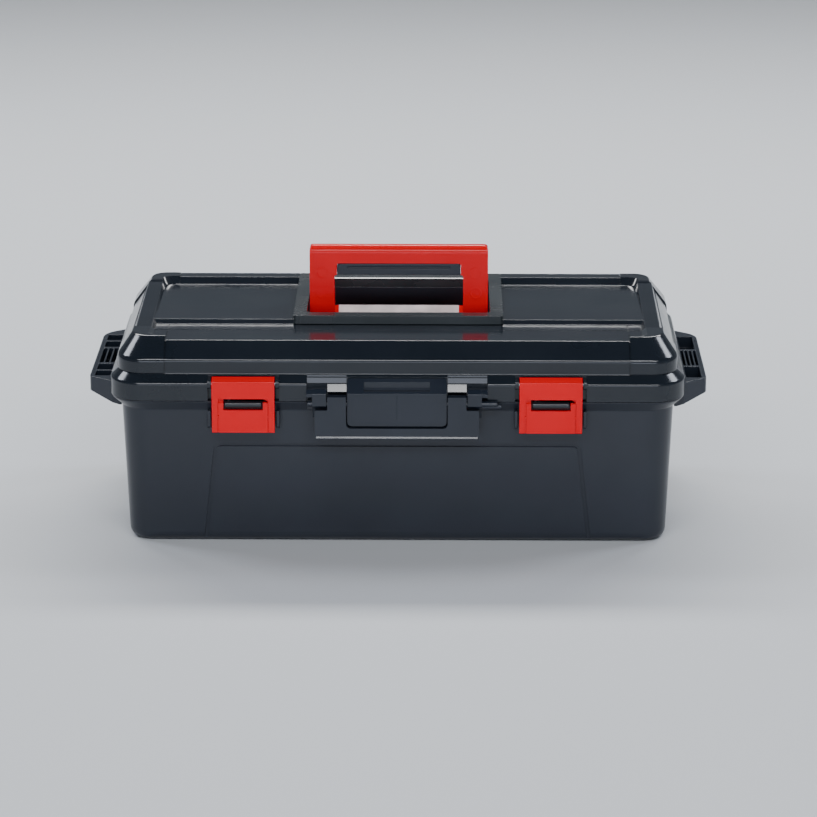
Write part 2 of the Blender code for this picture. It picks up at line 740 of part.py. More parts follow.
def make_catch(side, name):
    """Staple that the latch window drops over: a bar on two legs."""
    middle = side * LATCH_X
    bar = cylinder((middle, CATCH_Y, CATCH_Z), "X", CATCH_RADIUS, CATCH_LENGTH, 20)
    part = as_part(bar, name, GLOSS_BLACK)
    leg_end = -HALF_D + RIM_OVERHANG_Y - 2 * GAP
    for end in (-1, 1):
        leg_x = middle + end * (CATCH_LENGTH / 2 - CATCH_RADIUS)
        leg = cylinder((leg_x, (CATCH_Y + leg_end) / 2, CATCH_Z), "Y",
                       CATCH_LEG_RADIUS, leg_end - CATCH_Y, 12)
        join(part, leg)
    return part


# ------------------------------------------------------------------------ lid


def lid_rings(grow=0.0, low_z=None):
    """Outer rings of the lid, grown outwards by a clearance."""
    rings = [
        (SEAM_Z, HALF_W, HALF_D, FLANGE_RADIUS),
        (FLANGE_TOP_Z, HALF_W, HALF_D, FLANGE_RADIUS),
        (BAND_LOW_Z, BAND_HALF_W, BAND_HALF_D, BAND_RADIUS),
        (BAND_TOP_Z, BAND_HALF_W, BAND_HALF_D, BAND_RADIUS),
        (STRIP_Z, TOP_HALF_W, TOP_HALF_D, TOP_RADIUS),
    ]
    if low_z is not None:
        rings = [(low_z, *rings[2][1:])] + rings[3:]
    return [(z, w + grow, d + grow, r + grow) for z, w, d, r in rings]


def lid_hollow():
    radius = BAND_RADIUS - WALL
    return ring_loft([
        (SEAM_Z - WALL, HOLLOW_HALF_W, HOLLOW_HALF_D, radius),
        (BAND_TOP_Z - WALL / 2, HOLLOW_HALF_W, HOLLOW_HALF_D, radius),
        (STRIP_Z - WALL, TOP_HALF_W - WALL, TOP_HALF_D - WALL, TOP_RADIUS - WALL),
    ])


def side_rail(side):
    """Raised rail along the side of the lid top, between the corner caps."""
    outline = [
        (RAIL_INNER_X, STRIP_Z - WALL / 2),
        (TOP_HALF_W - EMBED, STRIP_Z - WALL / 2),
        (TOP_HALF_W - RAIL_FOOT_INSET, STRIP_Z),
        (RAIL_OUTER_X, RAIL_Z),
        (RAIL_INNER_X, RAIL_Z),
    ]
    outline = [(side * x, z) for x, z in outline]
    return extrusion([outline], "XZ", -SEAM_Y + GAP, SEAM_Y - GAP)


def rear_rim():
    """Raised rim along the back of the lid top, between the corner caps."""
    outline = [
        (REAR_RIM_FRONT_Y - REAR_RIM_SLOPE, PANEL_Z - EMBED),
        (REAR_RIM_FRONT_Y - REAR_RIM_SLOPE, PANEL_Z),
        (REAR_RIM_FRONT_Y, RAIL_Z),
        (REAR_RIM_BACK_Y, RAIL_Z),
        (TOP_HALF_D - RAIL_FOOT_INSET, STRIP_Z),
        (TOP_HALF_D - EMBED, STRIP_Z - WALL / 2),
        (REAR_RIM_FRONT_Y - REAR_RIM_SLOPE, STRIP_Z - WALL / 2),
    ]
    return extrusion([outline], "YZ", -SEAM_X + GAP, SEAM_X - GAP)


def lid_knuckles():
    """Two knuckles with webs for each rear hinge."""
    pieces = []
    offset = KNUCKLE_BODY_WIDTH / 2 + KNUCKLE_SIDE_GAP + KNUCKLE_LID_WIDTH / 2
    half = KNUCKLE_LID_WIDTH / 2
    for side in (-1, 1):
        for end in (-1, 1):
            middle = side * HINGE_X + end * offset
            pieces.append(cylinder((middle, HINGE_Y, HINGE_Z), "X",
                                   KNUCKLE_RADIUS, KNUCKLE_LID_WIDTH))
            pieces.append(extrusion([[
                (HINGE_Y, HINGE_Z + EMBED),
                (HALF_D - WALL / 2, HINGE_Z + EMBED),
                (HALF_D - WALL / 2, HINGE_Z + KNUCKLE_RADIUS + HINGE_BEHIND),
                (HINGE_Y, HINGE_Z + KNUCKLE_RADIUS * KNUCKLE_WEB),
            ]], "YZ", middle - half, middle + half))
    return pieces


def latch_ears(side):
    """Ears in the latch pocket that carry the latch pin."""
    ears = []
    inner = LATCH_WIDTH / 2 + LATCH_SIDE_GAP
    for end in (-1, 1):
        edges = (side * LATCH_X + end * inner, side * LATCH_X + end * (inner + LATCH_EAR + WALL / 2))
        low_x, high_x = sorted(edges)
        outline = rounded_outline([
            (LATCH_PIVOT_Y - LATCH_EAR_HALF, LATCH_PIVOT_Z - LATCH_EAR_HALF, LATCH_EAR_ROUND),
            (LATCH_PIVOT_Y - LATCH_EAR_HALF, LATCH_PIVOT_Z + LATCH_EAR_HALF, LATCH_EAR_ROUND),
            (POCKET_Y + WALL / 2, LATCH_PIVOT_Z + LATCH_EAR_HALF, 0),
            (POCKET_Y + WALL / 2, LATCH_PIVOT_Z - LATCH_EAR_HALF, 0),
        ], 3)
        ears.append(extrusion([outline], "YZ", low_x, high_x))
    return ears


def make_lid():
    lid = as_part(ring_loft(lid_rings()), "lid_shell", GLOSS_BLACK)
    panel = box(
        (-RAIL_INNER_X, STEP_Y, STRIP_Z - WALL / 2),
        (RAIL_INNER_X, REAR_RIM_FRONT_Y, PANEL_Z),
    )
    join(lid, panel, side_rail(1), side_rail(-1), rear_rim())
    cut(lid, lid_hollow())
    for side in (-1, 1):
        middle = side * LATCH_X
        cut(lid, box(
            (middle - POCKET_HALF, -HALF_D - WALL, SEAM_Z - WALL),
            (middle + POCKET_HALF, POCKET_Y, BAND_LOW_Z + GAP),
        ))
    cut(lid, box(
        (-RECESS_HALF, -HALF_D - WALL, SEAM_Z - WALL),
        (RECESS_HALF, RECESS_Y, BAND_LOW_Z + GAP),
    ))
    join(lid, *latch_ears(1), *latch_ears(-1), *lid_knuckles())
    for side in (-1, 1):
        cut(lid, cylinder((side * LATCH_X, LATCH_PIVOT_Y, LATCH_PIVOT_Z), "X",
                          LATCH_PIN_RADIUS + RUNNING_GAP, 2 * POCKET_HALF + WALL, 16))
        cut(lid, cylinder((side * HINGE_X, HINGE_Y, HINGE_Z), "X",
                          HINGE_PIN_RADIUS + RUNNING_GAP, KNUCKLE_BODY_WIDTH * 4, 16))
    footprint = box(
        (-FRAME_HALF - GAP, STEP_Y - GAP, STRIP_Z),
        (FRAME_HALF + GAP, HALF_D, RAIL_Z + WALL),
    )
    well_margin = WELL_WALL + GAP
    opening = box(
        (-WELL_HALF - well_margin, WELL_FRONT_Y - well_margin, STRIP_Z - 2 * WALL),
        (WELL_HALF + well_margin, WELL_REAR_Y + well_margin, RAIL_Z),
    )
    cut(lid, footprint, opening)
    return lid


def make_corner_cap(side_x, side_y, name):
    """Thin cap over a lid corner, fitted round the band and the chamfer."""
    front = side_y < 0
    top_z = STRIP_Z + CAP_FRONT_RISE if front else RAIL_Z + CAP_THICKNESS / 2
    rings = lid_rings(CAP_THICKNESS, BAND_LOW_Z - 2 * EMBED)
    slope = (TOP_INSET_X - BAND_INSET) / CHAMFER_RISE
    extra = (top_z - STRIP_Z) * slope
    z, half_w, half_d, radius = rings[-1]
    rings.append((top_z, half_w - extra, half_d - extra, radius - extra))
    cap = as_part(ring_loft(rings), name, GLOSS_BLACK)
    zone_x = sorted((side_x * SEAM_X, side_x * HALF_W))
    zone_y = sorted((side_y * SEAM_Y, side_y * HALF_D))
    zone = box((zone_x[0], zone_y[0], BAND_LOW_Z + GAP), (zone_x[1], zone_y[1], RAIL_Z + WALL))
    boolean(cap, zone, "INTERSECT")
    under = lid_rings(GAP, BAND_LOW_Z - WALL)
    z, half_w, half_d, radius = under[-1]
    under[-1] = (z + GAP, half_w, half_d, radius)
    cut(cap, ring_loft(under))
    inner_x = sorted((0, side_x * (RAIL_INNER_X + GAP)))
    inner_y = sorted((0, (RAIL_WIDTH - TOP_HALF_D if front else REAR_RIM_FRONT_Y) + GAP))
    cut(cap, box((inner_x[0], inner_y[0], STRIP_Z - WALL), (inner_x[1], inner_y[1], RAIL_Z + WALL)))
    return cap


def make_handle_frame():
    """Raised frame with the well that the folded handle lies in."""
    frame = as_part(box(
        (-FRAME_HALF, STEP_Y, STRIP_Z + GAP),
        (FRAME_HALF, REAR_RIM_BACK_Y, RAIL_Z),
    ), "handle_frame", FRAME_BLACK)
    cup = box(
        (-WELL_HALF - WELL_WALL, WELL_FRONT_Y - WELL_WALL, WELL_FLOOR_Z - WELL_WALL),
        (WELL_HALF + WELL_WALL, WELL_REAR_Y + WELL_WALL, STRIP_Z + EMBED),
    )
    join(frame, cup)
    cut(frame, box(
        (-WELL_HALF, WELL_FRONT_Y, WELL_FLOOR_Z),
        (WELL_HALF, WELL_REAR_Y, RAIL_Z + WALL),
    ))
    cut(frame, cylinder((0, HANDLE_Y, HANDLE_PIVOT_Z), "X",
                        HANDLE_PIN_RADIUS + RUNNING_GAP, 2 * (WELL_HALF + 2 * WELL_WALL)))
    return frame


# ----------------------------------------------------------------- top handle


def make_top_handle():
    """Bail with two legs, a grip bar and a crossbar at the well's mouth."""
    low = HANDLE_PIVOT_Z - HANDLE_THICKNESS / 2
    notch_z = CROSSBAR_TOP_Z - CROSSBAR_HEIGHT
    outer = rounded_outline([
        (-HANDLE_HALF, low, 0),
        (-OPENING_HALF, low, 0),
        (-OPENING_HALF, notch_z, HANDLE_NOTCH_ROUND),
        (OPENING_HALF, notch_z, HANDLE_NOTCH_ROUND),
        (OPENING_HALF, low, 0),
        (HANDLE_HALF, low, 0),
        (HANDLE_HALF, HANDLE_TOP_Z, HANDLE_ROUND),
        (-HANDLE_HALF, HANDLE_TOP_Z, HANDLE_ROUND),
    ])
    grip_half = OPENING_HALF - GRIP_END + GAP
    window = [
        (-OPENING_HALF, CROSSBAR_TOP_Z),
        (OPENING_HALF, CROSSBAR_TOP_Z),
        (OPENING_HALF, GRIP_LOW_Z),
        (grip_half, GRIP_LOW_Z),
        (grip_half, BAR_LOW_Z),
        (-grip_half, BAR_LOW_Z),
        (-grip_half, GRIP_LOW_Z),
        (-OPENING_HALF, GRIP_LOW_Z),
    ]
    half = HANDLE_THICKNESS / 2
    slab = extrusion([outer, window], "XZ", HANDLE_Y - half, HANDLE_Y + half)
    handle = as_part(slab, "top_handle", RED)
    round_over = extrusion([rounded_outline([
        (HANDLE_Y - half, low, half * HANDLE_LEG_ROUND),
        (HANDLE_Y + half, low, half * HANDLE_LEG_ROUND),
        (HANDLE_Y + half, HANDLE_TOP_Z, half * HANDLE_BAR_ROUND),
        (HANDLE_Y - half, HANDLE_TOP_Z, half * HANDLE_BAR_ROUND),
    ], 5)], "YZ", -HANDLE_HALF - WALL, HANDLE_HALF + WALL)
    boolean(handle, round_over, "INTERSECT")
    cut(handle, cylinder((0, HANDLE_Y, HANDLE_PIVOT_Z), "X",
                         HANDLE_PIN_RADIUS + RUNNING_GAP, 2 * HANDLE_HALF + WALL))
    return handle


def make_grip():
    """Dark lining under the grip bar, with a shallow lengthwise slot."""
    half_x = OPENING_HALF - GRIP_END
    half_y = HANDLE_THICKNESS / 2 + GRIP_PROUD
    grip = as_part(box(
        (-half_x, HANDLE_Y - half_y, GRIP_LOW_Z + GRIP_PLAY),
        (half_x, HANDLE_Y + half_y, BAR_LOW_Z - GAP),
    ), "top_handle_grip", BLACK)
    bevel(grip, GRIP_EDGE, 2)
    return grip


def make_label():
    half = OPENING_HALF - LABEL_MARGIN
    front = HANDLE_Y - HANDLE_THICKNESS / 2 - GAP
    return as_part(box(
        (-half, front - LABEL_THICKNESS, CROSSBAR_TOP_Z - CROSSBAR_HEIGHT + LABEL_EDGE),
        (half, front, CROSSBAR_TOP_Z - LABEL_EDGE),
    ), "label_plate", PALE)


def make_handle_pin(side, name):
    inner = OPENING_HALF + HANDLE_PIN_INSIDE
    outer = WELL_HALF + WELL_WALL + EMBED
    pin = cylinder((side * (inner + outer) / 2, HANDLE_Y, HANDLE_PIVOT_Z), "X",
                   HANDLE_PIN_RADIUS, outer - inner)
    return as_part(pin, name, STEEL)


# --------------------------------------------------------------- front handle


def make_carry_handle():
    """Flat U that hangs from the rod, notched round the ears and the boss."""
    low = SEAM_Z - CARRY_BOTTOM_DROP
    shoulder_z = SEAM_Z - EAR_DROP - CARRY_EAR_PLAY
    neck_x = EAR_INNER - CARRY_LEG_GAP
    inner_x = BOSS_HALF + CARRY_LEG_GAP
    outline = rounded_outline([
        (-CARRY_HALF, low, CARRY_FOOT_ROUND),
        (CARRY_HALF, low, CARRY_FOOT_ROUND),
        (CARRY_HALF, shoulder_z, CARRY_ARM_ROUND),
        (neck_x, shoulder_z, CARRY_NECK_ROUND),
        (neck_x, CARRY_AXIS_Z, 0),
        (inner_x, CARRY_AXIS_Z, 0),
        (inner_x, low + CARRY_BAR, BOSS_CORNER),
        (-inner_x, low + CARRY_BAR, BOSS_CORNER),
        (-inner_x, CARRY_AXIS_Z, 0),
        (-neck_x, CARRY_AXIS_Z, 0),
        (-neck_x, shoulder_z, CARRY_NECK_ROUND),
        (-CARRY_HALF, shoulder_z, CARRY_ARM_ROUND),
    ], 3)
    slab = extrusion([outline], "XZ", CARRY_FRONT_Y, CARRY_BACK_Y)
    handle = as_part(slab, "front_handle", BLACK)
    for side in (-1, 1):
        hub = cylinder((side * (neck_x + inner_x) / 2, CARRY_AXIS_Y, CARRY_AXIS_Z), "X",
                       CARRY_HUB, neck_x - inner_x)
        join(handle, hub)
        ear_x = side * (EAR_INNER + EAR_OUTER) / 2
        cut(handle, cylinder((ear_x, CARRY_AXIS_Y, CARRY_AXIS_Z), "X",
                             EAR_PROUD - CARRY_AXIS_PROUD + CARRY_EAR_CLEAR,
                             EAR_OUTER - EAR_INNER + CARRY_LEG_GAP, 20))
    cut(handle, cylinder((0, CARRY_AXIS_Y, CARRY_AXIS_Z), "X",
                         ROD_RADIUS + RUNNING_GAP, 2 * CARRY_HALF, 16))
    return handle


def make_rod():
    length = ROD_LEFT + ROD_RIGHT
    rod = cylinder(((ROD_RIGHT - ROD_LEFT) / 2, CARRY_AXIS_Y, CARRY_AXIS_Z), "X",
                   ROD_RADIUS, length, 16)
    return as_part(rod, "front_handle_rod", GLOSS_BLACK)


# -------------------------------------------------------------------- latches


def make_latch(side, name):
    """Hook plate with a rounded top on its pin and a window for the catch."""
    middle = side * LATCH_X
    half = LATCH_WIDTH / 2
    low = SEAM_Z - LATCH_BELOW_SEAM
    outline = rounded_outline([
        (LATCH_FRONT_Y, low, LATCH_FOOT_ROUND),
        (LATCH_FRONT_Y, LATCH_PIVOT_Z + LATCH_HEAD_SHOULDER, LATCH_HEAD_ROUND),
        (LATCH_PIVOT_Y + LATCH_HEAD_CREST, LATCH_PIVOT_Z + LATCH_HEAD_RISE, LATCH_HEAD_ROUND),
        (LATCH_PIVOT_Y + LATCH_HEAD_BACK, LATCH_PIVOT_Z + LATCH_HEAD_SHOULDER, LATCH_HEAD_ROUND),
        (LATCH_PIVOT_Y + LATCH_HEAD_BACK, LATCH_PIVOT_Z - LATCH_HEAD_SHOULDER, LATCH_HEAD_ROUND),
        (LATCH_BACK_Y, LATCH_PIVOT_Z - LATCH_HEAD_FOOT, 0),
        (LATCH_BACK_Y, low, LATCH_FOOT_ROUND),
    ], 3)
    latch = as_part(extrusion([outline], "YZ", middle - half, middle + half), name, RED)
    window_top = SEAM_Z + WINDOW_TOP_RISE
    cut(latch, box(
        (middle - WINDOW_WIDTH / 2, LATCH_FRONT_Y - WALL, window_top - WINDOW_HEIGHT),
        (middle + WINDOW_WIDTH / 2, LATCH_BACK_Y + WALL, window_top),
    ))
    cut(latch, cylinder((middle, LATCH_PIVOT_Y, LATCH_PIVOT_Z), "X",
                        LATCH_PIN_RADIUS + RUNNING_GAP, LATCH_WIDTH + WALL, 16))
    return latch


def make_latch_pin(side, name):
    pin = cylinder((side * LATCH_X, LATCH_PIVOT_Y, LATCH_PIVOT_Z), "X",
                   LATCH_PIN_RADIUS, 2 * POCKET_HALF, 16)
    return as_part(pin, name, STEEL)


def make_hinge_pin(side, name):
    half = KNUCKLE_BODY_WIDTH / 2 + KNUCKLE_SIDE_GAP + KNUCKLE_LID_WIDTH + HINGE_PIN_END
    length = 2 * half
    pin = cylinder((side * HINGE_X, HINGE_Y, HINGE_Z), "X", HINGE_PIN_RADIUS, length, 16)
    return as_part(pin, name, STEEL)


# ----------------------------------------------------------------------- tray


def make_tray():
    """Tray with a rim that hangs on the body lip and a lengthwise wall."""
    base_w = TRAY_HALF_W - TRAY_DRAFT
    base_d = TRAY_HALF_D - TRAY_DRAFT
    base_radius = TRAY_RADIUS - TRAY_DRAFT
    tray = as_part(ring_loft([
        (TRAY_BASE_Z, base_w, base_d, base_radius),
        (TRAY_TOP_Z - GAP, TRAY_HALF_W, TRAY_HALF_D, TRAY_RADIUS),
    ]), "tray", TRAY_GREY)
    rim_half_w = LIP_HALF_W - TRAY_RIM_MARGIN
    rim_half_d = LIP_HALF_D - TRAY_RIM_MARGIN
    join(tray, ring_loft([
        (TRAY_RIM_LOW_Z, rim_half_w, rim_half_d, TRAY_RADIUS),
        (TRAY_TOP_Z, rim_half_w, rim_half_d, TRAY_RADIUS),
    ]))
    cut(tray, ring_loft([
        (TRAY_BASE_Z + TRAY_WALL, base_w - TRAY_WALL, base_d - TRAY_WALL, base_radius - TRAY_WALL),
        (TRAY_TOP_Z + WALL, TRAY_HALF_W - TRAY_WALL, TRAY_HALF_D - TRAY_WALL,
         TRAY_RADIUS - TRAY_WALL),
    ]))
    divider = box(
        (-base_w - TRAY_WALL / 2, -DIVIDER_THICKNESS / 2, TRAY_BASE_Z + TRAY_WALL / 2),
        (base_w + TRAY_WALL / 2, DIVIDER_THICKNESS / 2, TRAY_TOP_Z - DIVIDER_DROP),
    )
    join(tray, divider)
    cut(tray, box(
        (-TRAY_GRIP_HALF - GAP, -TRAY_GRIP_WIDTH, TRAY_TOP_Z - TRAY_GRIP_HEIGHT - GAP),
        (TRAY_GRIP_HALF + GAP, TRAY_GRIP_WIDTH, TRAY_TOP_Z + WALL),
    ))
    return tray


def make_tray_divider(side, name):
    """Loose cross divider in the front half of the tray."""
    back = -DIVIDER_THICKNESS / 2 - GAP
    low = TRAY_BASE_Z + TRAY_WALL + GAP
    high = TRAY_TOP_Z - DIVIDER_DROP
    base_d = TRAY_HALF_D - TRAY_DRAFT - TRAY_WALL
    lean = TRAY_DRAFT / TRAY_DEPTH
    outline = [
        (back, low),
        (back, high),
        (-base_d - lean * (high - TRAY_BASE_Z) + 2 * GAP, high),
        (-base_d + 2 * GAP, low),
    ]
    middle = side * DIVIDER_X
    half = DIVIDER_THICKNESS / 2
    return as_part(extrusion([outline], "YZ", middle - half, middle + half), name, TRAY_GREY)


def make_tray_grip():
    """Grip in the middle of the lengthwise wall, with a finger opening."""
    low = TRAY_TOP_Z - TRAY_GRIP_HEIGHT
    half = TRAY_GRIP_HALF
    outer = rounded_outline([
        (-half, low, 0), (half, low, 0),
        (half, TRAY_TOP_Z, TRAY_GRIP_ROUND), (-half, TRAY_TOP_Z, TRAY_GRIP_ROUND),
    ])
    inner_half = half - TRAY_GRIP_BAR
    hole = rounded_outline([
        (-inner_half, low + TRAY_GRIP_HOLE_ROUND, TRAY_GRIP_HOLE_ROUND),
        (inner_half, low + TRAY_GRIP_HOLE_ROUND, TRAY_GRIP_HOLE_ROUND),
        (inner_half, TRAY_TOP_Z - TRAY_GRIP_BAR, TRAY_GRIP_HOLE_ROUND),
        (-inner_half, TRAY_TOP_Z - TRAY_GRIP_BAR, TRAY_GRIP_HOLE_ROUND),
    ])
    width = TRAY_GRIP_WIDTH / 2
    return as_part(extrusion([outer, hole], "XZ", -width, width), "tray_grip", TRAY_GREY)


# ------------------------------------------------------------------- assembly


def build():
    make_body()
    sides = ((-1, "left"), (1, "right"))
    for side, word in sides:
        make_catch(side, f"catch_bar_{word}")
    lid_pieces = [make_lid(), make_handle_frame()]
    for side_y, end in ((-1, "front"), (1, "rear")):
        for side, word in sides:
            lid_pieces.append(make_corner_cap(side, side_y, f"lid_corner_{end}_{word}"))
    for side, word in sides:
        lid_pieces.append(make_handle_pin(side, f"top_handle_pin_{word}"))
        lid_pieces.append(make_latch_pin(side, f"latch_pin_{word}"))
        lid_pieces.append(make_hinge_pin(side, f"hinge_pin_{word}"))
    hang_on_axis(lid_pieces, "lid_axis", (0, HINGE_Y, HINGE_Z))
    handle_pieces = [make_top_handle(), make_grip(), make_label()]
    hang_on_axis(handle_pieces, "top_handle_axis", (0, HANDLE_Y, HANDLE_PIVOT_Z))
    hang_on_axis([make_carry_handle()], "front_handle_axis", (0, CARRY_AXIS_Y, CARRY_AXIS_Z))
    make_rod()
    for side, word in sides:
        latch = make_latch(side, f"latch_{word}")
        hang_on_axis([latch], f"latch_axis_{word}", (side * LATCH_X, LATCH_PIVOT_Y, LATCH_PIVOT_Z))
    tray_pieces = [make_tray(), make_tray_grip()]
    for side, word in sides:
        tray_pieces.append(make_tray_divider(side, f"tray_divider_{word}"))
    hang_on_axis(tray_pieces, "tray_axis", (0, 0, TRAY_BASE_Z))


build()
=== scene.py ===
"""Looks of the plastic toolbox with a lift-out tray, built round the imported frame."""
import json
import math

import bmesh
import bpy
from mathutils import Matrix, Vector


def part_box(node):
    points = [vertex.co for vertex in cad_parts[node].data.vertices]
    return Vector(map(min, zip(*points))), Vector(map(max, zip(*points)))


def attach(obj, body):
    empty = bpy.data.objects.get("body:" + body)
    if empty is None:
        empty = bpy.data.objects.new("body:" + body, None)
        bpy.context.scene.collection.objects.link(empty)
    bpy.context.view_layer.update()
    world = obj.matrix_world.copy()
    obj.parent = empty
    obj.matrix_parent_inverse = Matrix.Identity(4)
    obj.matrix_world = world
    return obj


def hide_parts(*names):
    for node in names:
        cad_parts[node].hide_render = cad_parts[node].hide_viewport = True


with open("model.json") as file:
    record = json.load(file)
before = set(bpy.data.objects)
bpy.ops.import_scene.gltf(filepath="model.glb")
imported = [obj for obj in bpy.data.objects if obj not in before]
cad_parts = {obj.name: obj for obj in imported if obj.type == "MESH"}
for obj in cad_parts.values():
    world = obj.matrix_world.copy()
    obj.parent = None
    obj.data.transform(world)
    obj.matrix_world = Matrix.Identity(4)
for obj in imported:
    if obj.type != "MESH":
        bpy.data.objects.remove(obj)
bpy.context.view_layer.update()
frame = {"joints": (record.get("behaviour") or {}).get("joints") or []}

# ------------------------------------------------------- places from the frame
JOINTS = {joint["name"]: joint for joint in frame["joints"]}
_, HINGE_Y, HINGE_Z = JOINTS["lid_hinge"]["pos_m"]
_, HANDLE_Y, HANDLE_PIVOT_Z = JOINTS["top_handle_hinge"]["pos_m"]
LATCH_X, LATCH_PIVOT_Y, LATCH_PIVOT_Z = JOINTS["latch_right_hinge"]["pos_m"]
_, CARRY_Y, CARRY_Z = JOINTS["front_handle_hinge"]["pos_m"]
_, LID_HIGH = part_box("lid_shell")
FRAME_LOW, FRAME_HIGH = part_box("handle_frame")
_, BODY_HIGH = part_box("body_shell")
TRAY_LOW, TRAY_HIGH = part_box("tray")
HALF_W = LID_HIGH.x
HALF_D = HINGE_Y - 0.0055
SEAM_Z = HINGE_Z
RAIL_Z = FRAME_HIGH.z
STRIP_Z = RAIL_Z - 0.008

# --------------------------------------------------------------- named sizes
GAP = 0.0004
WALL = 0.003
FLANGE_RADIUS = 0.030
RIM_X, RIM_Y, RIM_HEIGHT = 0.0095, 0.006, 0.009
DRAFT_X, DRAFT_Y = 0.0047, 0.004
BASE_ROUND = 0.009
FLANGE_TOP_Z = SEAM_Z + 0.015
BAND_LOW_Z = FLANGE_TOP_Z + 0.007
BAND_TOP_Z = BAND_LOW_Z + 0.0115
BAND_INSET = 0.0075
TOP_X, TOP_Y = 0.0174, 0.022
TOP_RADIUS = 0.020
PANEL_Z = STRIP_Z + 0.003
STEP_Y = FRAME_LOW.y
STEP_RUN = 0.0062
RAIL_TOP_Z = RAIL_Z - 0.0006
RAIL_FRONT_RISE = 0.0028
RAIL_OUTER_X = HALF_W - 0.0205
RAIL_INNER_X = HALF_W - 0.0325
RAIL_SLOPE = 0.004
RIM_BACK_Y = FRAME_HIGH.y
RIM_FRONT_Y = RIM_BACK_Y - 0.014
RIM_FOOT_Y = RIM_FRONT_Y - 0.006
SEAM_X = HALF_W - 0.047
SEAM_Y = HALF_D - 0.054
CAP = 0.0012
PLAN_STEPS = 14

# ------------------------------------------------------------ mesh functions


def rounded(corners, steps=6):
    """Round each (a, b, radius) corner of a closed outline with an arc."""
    points = []
    count = len(corners)
    for i, (a, b, radius) in enumerate(corners):
        if radius == 0:
            points.append((a, b))
            continue
        before = corners[i - 1]
        after = corners[(i + 1) % count]
        first = math.atan2(before[1] - b, before[0] - a)
        second = math.atan2(after[1] - b, after[0] - a)
        half = math.atan2(math.sin((second - first) / 2), math.cos((second - first) / 2))
        if abs(half) > math.pi / 2:
            half -= math.copysign(math.pi, half)
        reach = radius / abs(math.sin(half))
        centre_a = a + reach * math.cos(first + half)
        centre_b = b + reach * math.sin(first + half)
        start = first - math.copysign(math.pi / 2, half)
        sweep = 2 * half - math.copysign(math.pi, half)
        for k in range(steps + 1):
            angle = start + sweep * k / steps
            points.append((centre_a + radius * math.cos(angle), centre_b + radius * math.sin(angle)))
    return points


def rectangle(low_a, low_b, high_a, high_b, radius, steps=6):
    """Closed outline of a rectangle with rounded corners."""
    return rounded([
        (low_a, low_b, radius), (high_a, low_b, radius),
        (high_a, high_b, radius), (low_a, high_b, radius),
    ], steps)


def soften(profile, steps=5):
    """Round the corners of a profile of (values, reach) with quadratic curves."""
    rings = []
    for i, (values, reach) in enumerate(profile):
        here = Vector(values)
        if reach == 0 or i in (0, len(profile) - 1):
            rings.append(here)
            continue
        legs = []
        for other in (Vector(profile[i - 1][0]), Vector(profile[i + 1][0])):
            leg = other - here
            size = max(math.hypot(leg[0], leg[-1]), math.hypot(leg[1], leg[-1]), 1e-9)
            legs.append(here + leg * min(reach / size, 0.48))
        for k in range(steps + 1):
            t = k / steps
            rings.append(legs[0] * (1 - t) ** 2 + here * (2 * t * (1 - t)) + legs[1] * t ** 2)
    return rings


def new_object(name, mesh):
    item = bpy.data.objects.new(name, mesh)
    bpy.context.scene.collection.objects.link(item)
    return item


def loft(name, rings):
    """Closed loft through (half width, half depth, radius, z) rounded rectangles."""
    work = bmesh.new()
    loops = []
    for half_w, half_d, radius, z in rings:
        outline = rectangle(-half_w, -half_d, half_w, half_d, radius, PLAN_STEPS)
        loops.append([work.verts.new((x, y, z)) for x, y in outline])
    count = len(loops[0])
    for lower, upper in zip(loops, loops[1:]):
        for i in range(count):
            j = (i + 1) % count
            work.faces.new((lower[i], lower[j], upper[j], upper[i]))
    work.faces.new(reversed(loops[0]))
    work.faces.new(loops[-1])
    bmesh.ops.recalc_face_normals(work, faces=work.faces)
    mesh = bpy.data.meshes.new(name)
    work.to_mesh(mesh)
    work.free()
    return new_object(name, mesh)


TURNS = {
    "XY": Matrix.Identity(4),
    "XZ": Matrix(((1, 0, 0, 0), (0, 0, 1, 0), (0, 1, 0, 0), (0, 0, 0, 1))),
    "YZ": Matrix(((0, 0, 1, 0), (1, 0, 0, 0), (0, 1, 0, 0), (0, 0, 0, 1))),
}


def prism(name, outlines, plane, low, high):
    """Closed prism of an outline, with any further outlines as holes."""
    curve = bpy.data.curves.new(name, "CURVE")
    curve.dimensions = "2D"
    curve.fill_mode = "BOTH"
    curve.extrude = (high - low) / 2
    for outline in outlines:
        spline = curve.splines.new("POLY")
        spline.points.add(len(outline) - 1)
        spline.use_cyclic_u = True
        for point, (a, b) in zip(spline.points, outline):
            point.co = (a, b, 0, 1)
    guide = new_object(name, curve)
    graph = bpy.context.evaluated_depsgraph_get()
    mesh = bpy.data.meshes.new_from_object(guide.evaluated_get(graph))
    bpy.data.objects.remove(guide, do_unlink=True)
    mesh.transform(TURNS[plane] @ Matrix.Translation((0, 0, (low + high) / 2)))
    work = bmesh.new()
    work.from_mesh(mesh)
    bmesh.ops.remove_doubles(work, verts=work.verts, dist=0.000005)
    bmesh.ops.dissolve_limit(work, angle_limit=0.001, verts=work.verts, edges=work.edges)
    bmesh.ops.recalc_face_normals(work, faces=work.faces)
    work.to_mesh(mesh)
    work.free()
    return new_object(name, mesh)


def taper(name, low_outline, high_outline, low_z, high_z):
    """Closed solid between two outlines with the same number of points."""
    work = bmesh.new()
    loops = [[work.verts.new((x, y, z)) for x, y in outline]
             for outline, z in ((low_outline, low_z), (high_outline, high_z))]
    count = len(loops[0])
    for i in range(count):
        j = (i + 1) % count
        work.faces.new((loops[0][i], loops[0][j], loops[1][j], loops[1][i]))
    work.faces.new(reversed(loops[0]))
    work.faces.new(loops[1])
    bmesh.ops.recalc_face_normals(work, faces=work.faces)
    mesh = bpy.data.meshes.new(name)
    work.to_mesh(mesh)
    work.free()
    return new_object(name, mesh)


